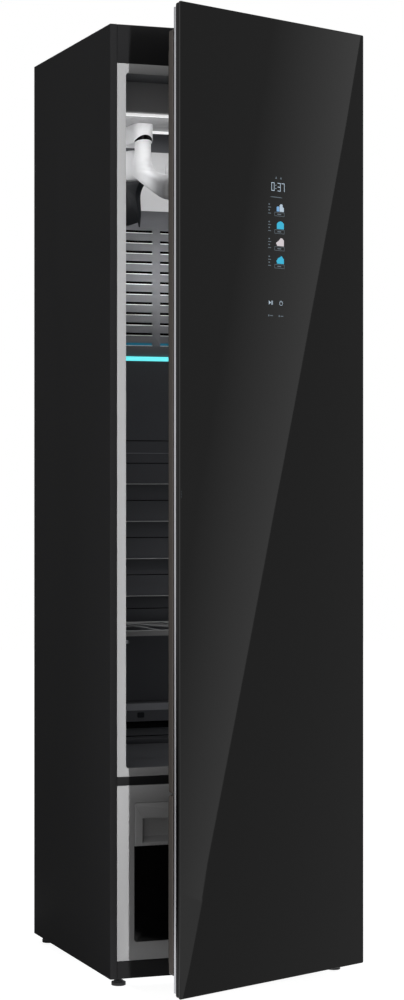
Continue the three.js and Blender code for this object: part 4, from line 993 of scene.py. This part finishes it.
@dataclass
class Display:
    """Lit marks that show through the glass, drawn in x and z with the door shut."""

    face: float = -308.0
    proud: float = 0.15
    digits: tuple[tuple[str, float], ...] = (("0", -9.4), ("3", 7.4), ("7", 18.2))
    digit_size: Flat = (8.2, 16.0)
    digit_foot: float = 1506.5
    icon_tops: tuple[float, ...] = (1482.6, 1449.4, 1417.1, 1383.4)
    frame_x: Flat = (-1.0, 26.0)
    frame_drop: Flat = (23.5, 15.9)
    frame_wall: float = 0.7
    ring_middle: Flat = (17.0, 1293.8)
    ring_radii: Flat = (4.5, 3.8)
    ring_steps: int = 20

    def lay(self, outlines: Sequence[Sequence[Flat]], name: str, finish: Finish) -> None:
        """Lays flat marks on the glass.

        Args:
            outlines: corners of each mark.
            name: name of the piece.
            finish: the light they give.
        """
        on_door(plates(outlines, self.face - self.proud, self.face + self.proud), name, finish)

    def build(self) -> None:
        """Lays the clock, the programme signs and the touch marks."""
        self.clock()
        for number, (top, shapes) in enumerate(zip(self.icon_tops, GARMENTS), 1):
            for part, (light, shape) in enumerate(shapes, 1):
                self.lay([[(x, top + z) for x, z in shape]], f"display_garment_{number}_{part}", light)
            self.surround(number, top)
        self.touch_marks()

    def clock(self) -> None:
        """Lays the remaining time, the thin line under it and the two signs over it."""
        marks: list[list[Flat]] = []
        (wide, tall), foot = self.digit_size, self.digit_foot
        for digit, x in self.digits:
            for stroke in DIGITS[digit]:
                left, right, low, high = stroke.value
                marks.append(box(x + wide * left, x + wide * right, foot + tall * low, foot + tall * high))
        marks += [rounded((1.8, 3.4), (z, z + 2.0), 0.8, 2) for z in (1510.5, 1516.5)]
        self.lay(marks, "display_clock", MARK_PALE)
        line = [(-13.8, 1494.2), (21.5, 1494.2), (16.0, 1495.6), (-8.0, 1495.6)]
        signs = [[(x, 1530.0), (x + 5.0, 1530.0), (x + 2.5, 1534.5)] for x in (1.0, 14.0)]
        self.lay([line, *signs], "display_line", MARK_DIM)

    def surround(self, number: int, top: float) -> None:
        """Lays the small frame with its bar under a sign, and the marks beside it.

        Args:
            number: which of the four signs it is.
            top: the sign's height.
        """
        (x0, x1), (low, high), wall = self.frame_x, (top - drop for drop in self.frame_drop), self.frame_wall
        spans = ((x0, x1, low, low + wall), (x0, x1, high - wall, high), (x0, x0 + wall, low, high),
                 (x1 - wall, x1, low, high), (x0 + 8, x1 - 9, low + 2.8, low + 4.8))
        self.lay([box(*span) for span in spans], f"display_frame_{number}", MARK_DIM)
        side = [rounded((-17.5, -13.5), (top - z - 2.4, top - z), 0.8, 2) for z in (1.0, 12.0)]
        side += [rounded((-18.5, -10.5), (top - z - 1.4, top - z), 0.5, 2) for z in (7.0, 18.5)]
        self.lay(side, f"display_side_marks_{number}", MARK_DIM)

    def touch_marks(self) -> None:
        """Lays the start and pause sign, the power ring, their captions and specks at the door's edge."""
        signs = [[(-16.4, 1290.0), (-11.0, 1293.8), (-16.4, 1297.6)]]
        signs += [box(x, x + 1.1, 1290.0, 1297.6) for x in (-9.4, -7.0)]
        (x, z), (outer, inner), steps = self.ring_middle, self.ring_radii, self.ring_steps
        for i in range(steps):
            if i in (steps // 4 - 1, steps // 4):
                continue
            a, b = (math.pi * 2 * (i + k) / steps for k in (0, 1))
            signs.append([(x + r * math.cos(t), z + r * math.sin(t))
                          for r, t in ((outer, a), (outer, b), (inner, b), (inner, a))])
        signs.append(box(16.6, 17.4, 1294.5, 1298.9))
        self.lay(signs, "display_touch_signs", MARK_PALE)
        low = [rounded((x, x + 3.6), (1267.4, 1271.0), 1.6, 3) for x in (-18.5, 10.0)]
        low += [rounded((x, x + 7.5), (1268.4, 1270.0), 0.6, 2) for x in (-13.0, 15.5)]
        self.lay(low, "display_touch_captions", MARK_DIM)
        specks = [rounded((-246.7, -245.5), (z - 0.6, z + 0.6), 0.5, 2) for z in (936.0, 931.0, 926.0)]
        self.lay(specks, "edge_specks", MARK_DIM)


@dataclass
class Door:
    """The glass door: glass, carrier, display, grip strip, lining and seals."""

    core_x: Flat = (-235.3, 249.4)
    core_y: Flat = (-295.4, -285.8)
    core_z: Flat = (14.6, 1825.1)
    trim_wall: float = 0.15
    sheet_gaps: Flat = (0.05, 0.25)
    side_strip: Flat = (45.5, 1785.2)
    seal_x: Flat = (-234.0, 234.0)
    seal_corner: float = 12.0
    rib_depths: Flat = (-270.2, -266.4)
    rib_radius: float = 0.9
    fields: dict[str, Flat] = field(default_factory=lambda: {
        "upper": (387.1, 1757.5), "lower": (56.6, 370.7)})

    def build(self) -> None:
        """Makes the door's pieces."""
        softened("door_glass", GLASS, 1.1, DOOR, steps=3)
        softened("door_carrier_frame", GLOSS_BLACK, 0.6, DOOR)
        softened("door_grip_profile", ANODISED, 0.9, DOOR, steps=3)
        for part in self.fields:
            softened("door_liner_" + part, DOOR_SHELL, 0.9, DOOR)
            softened("door_gasket_" + part, SEAL, 2.4, DOOR, steps=3)
        self.trim()
        for part, span in self.fields.items():
            self.seal_ribs(part, span)
        Display().build()

    def trim(self) -> None:
        """Covers the foam core with a thin sheet at the back and strips at the top, foot and hinge side."""
        (x0, x1), (z0, z1), wall = self.core_x, self.core_z, self.trim_wall
        strips = [box(x0, x1 + wall, z1, z1 + wall), box(x0, x1 + wall, z0 - wall, z0),
                  box(x1, x1 + wall, *self.side_strip)]
        front, back = self.core_y
        on_door(plates(strips, front, back), "door_edge_strips", NOZZLE)
        sheet = plates([box(x0, x1, z0, z1)], *(back + gap for gap in self.sheet_gaps))
        on_door(sheet, "door_back_sheet", NOZZLE)

    def seal_ribs(self, name: str, z: Flat) -> None:
        """Adds the bellows rib that runs round a seal.

        Args:
            name: which field of the door the seal belongs to.
            z: lowest and highest of the seal.
        """
        for number, y in enumerate(self.rib_depths, 1):
            path = [(x, y, up) for x, up in rounded(self.seal_x, z, self.seal_corner, steps=5)]
            on_door(beading(path, self.rib_radius, closed=True), f"door_seal_rib_{name}_{number}", SEAL)


# The studio


@dataclass(frozen=True)
class Lamp:
    """A soft lamp: its place, target and size in metres, its power in watts and its beam in degrees."""

    name: str
    place: Point
    target: Point
    size: Flat
    power: float
    spread: float = 180.0

    def stand(self) -> None:
        """Stands the lamp, unseen by the camera and by reflections."""
        data = bpy.data.lights.new(self.name, "AREA")
        data.spread = math.radians(self.spread)
        data.shape = "RECTANGLE"
        data.size, data.size_y = self.size
        data.energy = self.power
        made = stood(self.name, data)
        made.visible_camera = made.visible_glossy = False
        made.location = self.place
        made.rotation_euler = (Vector(self.target) - Vector(self.place)).to_track_quat("-Z", "Y").to_euler()


@dataclass(frozen=True)
class Card:
    """A dark reflector that only reflections see, with its corners in metres.

    Its strength is high at the start, a point in metres, and falls to low along a direction whose
    length is one over the fall-off in metres. Without a direction it is high all over.
    """

    name: str
    corners: tuple[Point, ...]
    high: float
    low: float = 0.0
    start: Point = (0.0, 0.0, 0.0)
    along: Point = (0.0, 0.0, 0.0)

    def stand(self) -> None:
        """Stands the card."""
        points = [tuple(c / MM for c in corner) for corner in self.corners]
        mesh = mesh_of(points, [range(len(points))], name=self.name)
        paint = blank_material(self.name)
        tree = paint.node_tree
        where = add(tree, "ShaderNodeTexCoord").outputs["Object"]
        away = add(tree, "ShaderNodeVectorMath", {0: where, 1: self.start}, operation="SUBTRACT")
        reach = add(tree, "ShaderNodeVectorMath", {0: away, 1: self.along}, operation="DOT_PRODUCT")
        strength = add(tree, "ShaderNodeMapRange", {
            "Value": reach.outputs["Value"], "To Min": self.high, "To Max": self.low})
        glow = add(tree, "ShaderNodeEmission", {"Color": WHITE, "Strength": strength})
        add(tree, "ShaderNodeOutputMaterial", {0: glow})
        mesh.materials.append(paint)
        made = stood(self.name, mesh)
        made.visible_camera = made.visible_diffuse = made.visible_shadow = False
        made.visible_transmission = made.visible_volume_scatter = False


# The key light before the cabinet, and lamps that carry the light of its own light bars
LAMPS = (
    Lamp("key", (-0.03, -5.2, 1.2), (-0.2, 0.0, 1.0), (0.05, 2.2), 29.8, 70.0),
    Lamp("front_bar", (0.0, -0.17, 1.664), (0.0, 0.1, 1.45), (0.42, 0.03), 0.27),
    Lamp("rear_bar", (0.0, 0.075, 1.668), (0.0, 0.195, 0.9), (0.42, 0.03), 0.2),
    Lamp("chamber_fill", (0.19, -0.215, 0.86), (-0.1, 0.19, 0.86), (0.03, 0.8), 0.44),
    Lamp("hanger_fill", (-0.205, -0.12, 1.58), (0.0, 0.05, 1.56), (0.03, 0.2), 0.1),
    Lamp("bracket_fill", (-0.21, 0.06, 1.6), (-0.1, -0.02, 1.6), (0.08, 0.12), 0.05, 120.0),
    Lamp("cover_fill", (0.1, -0.2, 1.36), (0.0, 0.19, 1.385), (0.2, 0.12), 0.125, 37.0),
    Lamp("louvre_fill", (0.05, -0.16, 1.16), (0.05, -0.02, 0.6), (0.25, 0.03), 0.09, 80.0),
)

# Cards that the glass and the left side mirror
CARDS = (
    Card("glass_bright_card", (
        (0.271, -1.16, 2.09), (0.559, -0.3806, 1.9436), (0.546, -0.416, 1.755),
        (0.5146, -0.5024, 1.3357), (0.4846, -0.5855, 0.916), (0.4539, -0.6699, 0.4959),
        (0.4234, -0.7536, 0.0754), (0.4189, -0.7663, -0.015), (0.271, -1.16, -0.015)),
        0.83, 0.36, (0.547, -0.412, 1.755), (-1.20, -3.30, 0.69)),
    Card("glass_dark_card", (
        (0.27, -1.21, -0.014), (0.65, -0.18, -0.014), (0.65, -0.18, 2.6), (0.27, -1.21, 2.6)), 0.3),
    Card("glass_floor_card", (
        (0.27, -0.27, -0.0155), (0.66, -0.2, -0.0155), (0.4, -0.9, -0.0155), (-0.25, -0.56, -0.0155)), 0.3),
    Card("glass_floor_bright_card", (
        (0.4532, -0.7784, -0.015), (0.0237, -0.5944, -0.015), (-0.2214, -0.4932, -0.015),
        (-0.35, -0.62, -0.015), (0.1, -1.0, -0.015), (0.45, -1.0, -0.015)), 0.66),
    Card("side_card", ((-0.2, 0.42, -0.01), (-7.0, 4.6, -0.01), (-7.0, 4.6, 6.0), (-0.2, 0.42, 6.0)), 0.05),
    Card("side_floor_card", (
        (-0.26, -0.3, -0.0155), (-0.2, 0.42, -0.0155), (-5.0, 3.3, -0.0155), (-5.0, -0.3, -0.0155)), 0.05),
)


@dataclass
class Studio:
    """Floor, camera and soft light, at the photograph's angle. The eye and the far limit are in metres."""

    eye: Point = (-1.6984, -4.716, 0.9494)
    heading: float = math.atan2(0.3446, 0.9388)
    focal_share: float = 2.445
    sensor: float = 24.0
    shift_up: float = -0.0159
    far: float = 60.0
    soft_light: float = 0.34
    floor_level: float = -16.2
    floor_half: float = 9000.0
    floor_grey: float = 0.5
    floor_glow: float = 0.9

    def build(self) -> None:
        """Sets up everything round the cabinet."""
        self.camera()
        self.world()
        self.floor()
        for thing in (*LAMPS, *CARDS):
            thing.stand()
        bpy.context.scene.view_settings.view_transform = "Standard"

    def camera(self) -> None:
        """Stands the camera level, with its picture shifted to the photograph's frame."""
        data = bpy.data.cameras.new("camera")
        data.sensor_fit = "VERTICAL"
        data.sensor_height = self.sensor
        data.lens = self.focal_share * self.sensor
        data.shift_y = self.shift_up
        data.clip_end = self.far
        made = stood("camera", data)
        made.location = self.eye
        made.rotation_euler = (math.pi / 2, 0.0, -self.heading)
        bpy.context.scene.camera = made

    def seen(self, tree: Tree, *rays: str) -> Socket:
        """Tells some kinds of rays from all others.

        Args:
            tree: the node tree that takes the nodes.
            rays: outputs of the light path node.

        Returns:
            The output that is 1 for these rays and 0 for others.
        """
        path = add(tree, "ShaderNodeLightPath")
        found = path.outputs[rays[0]]
        for ray in rays[1:]:
            largest = add(tree, "ShaderNodeMath", {0: found, 1: path.outputs[ray]}, operation="MAXIMUM")
            found = largest.outputs[0]
        return found

    def world(self) -> None:
        """Gives an even soft light, and white where the camera or a reflection sees it."""
        world = bpy.data.worlds.new("studio")
        bpy.context.scene.world = world
        world.use_nodes = True
        tree = world.node_tree
        tree.nodes.clear()
        seen = self.seen(tree, "Is Camera Ray", "Is Glossy Ray", "Is Transmission Ray")
        strength = add(tree, "ShaderNodeMapRange", {
            "Value": seen, "To Min": self.soft_light, "To Max": 1.0})
        sky = add(tree, "ShaderNodeBackground", {"Color": WHITE, "Strength": strength})
        add(tree, "ShaderNodeOutputWorld", {0: sky})

    def floor(self) -> None:
        """Lays a pale floor that keeps the cabinet's shadow."""
        half, grey = self.floor_half, self.floor_grey
        points = [(x, y, self.floor_level) for x, y in box(-half, half, -half, half)]
        mesh = mesh_of(points, [range(4)], name="floor")
        paint = blank_material("pale_floor")
        tree = paint.node_tree
        matt = add(tree, "ShaderNodeBsdfDiffuse", {"Color": (grey, grey, grey, 1.0)})
        glow = add(tree, "ShaderNodeEmission", {"Color": WHITE, "Strength": self.floor_glow})
        both = add(tree, "ShaderNodeAddShader", {0: matt, 1: glow})
        chosen = add(tree, "ShaderNodeMixShader", {
            0: self.seen(tree, "Is Camera Ray", "Is Glossy Ray"), 1: matt, 2: both})
        add(tree, "ShaderNodeOutputMaterial", {0: chosen})
        mesh.materials.append(paint)
        floor = stood("floor", mesh)


def main() -> None:
    """Builds the cabinet's looks and the studio, and notes each piece."""
    logging.basicConfig(level=logging.INFO, format="%(name)s: %(message)s")
    for assembly in (Casing(), FRONT_BANDS, Chamber(), AirHangers(), TANK_BAY, PlainParts(), FEET, Door()):
        assembly.build()
        LOG.info("%s dressed", type(assembly).__name__)
    Studio().build()


if __name__ == "__main__":
    main()
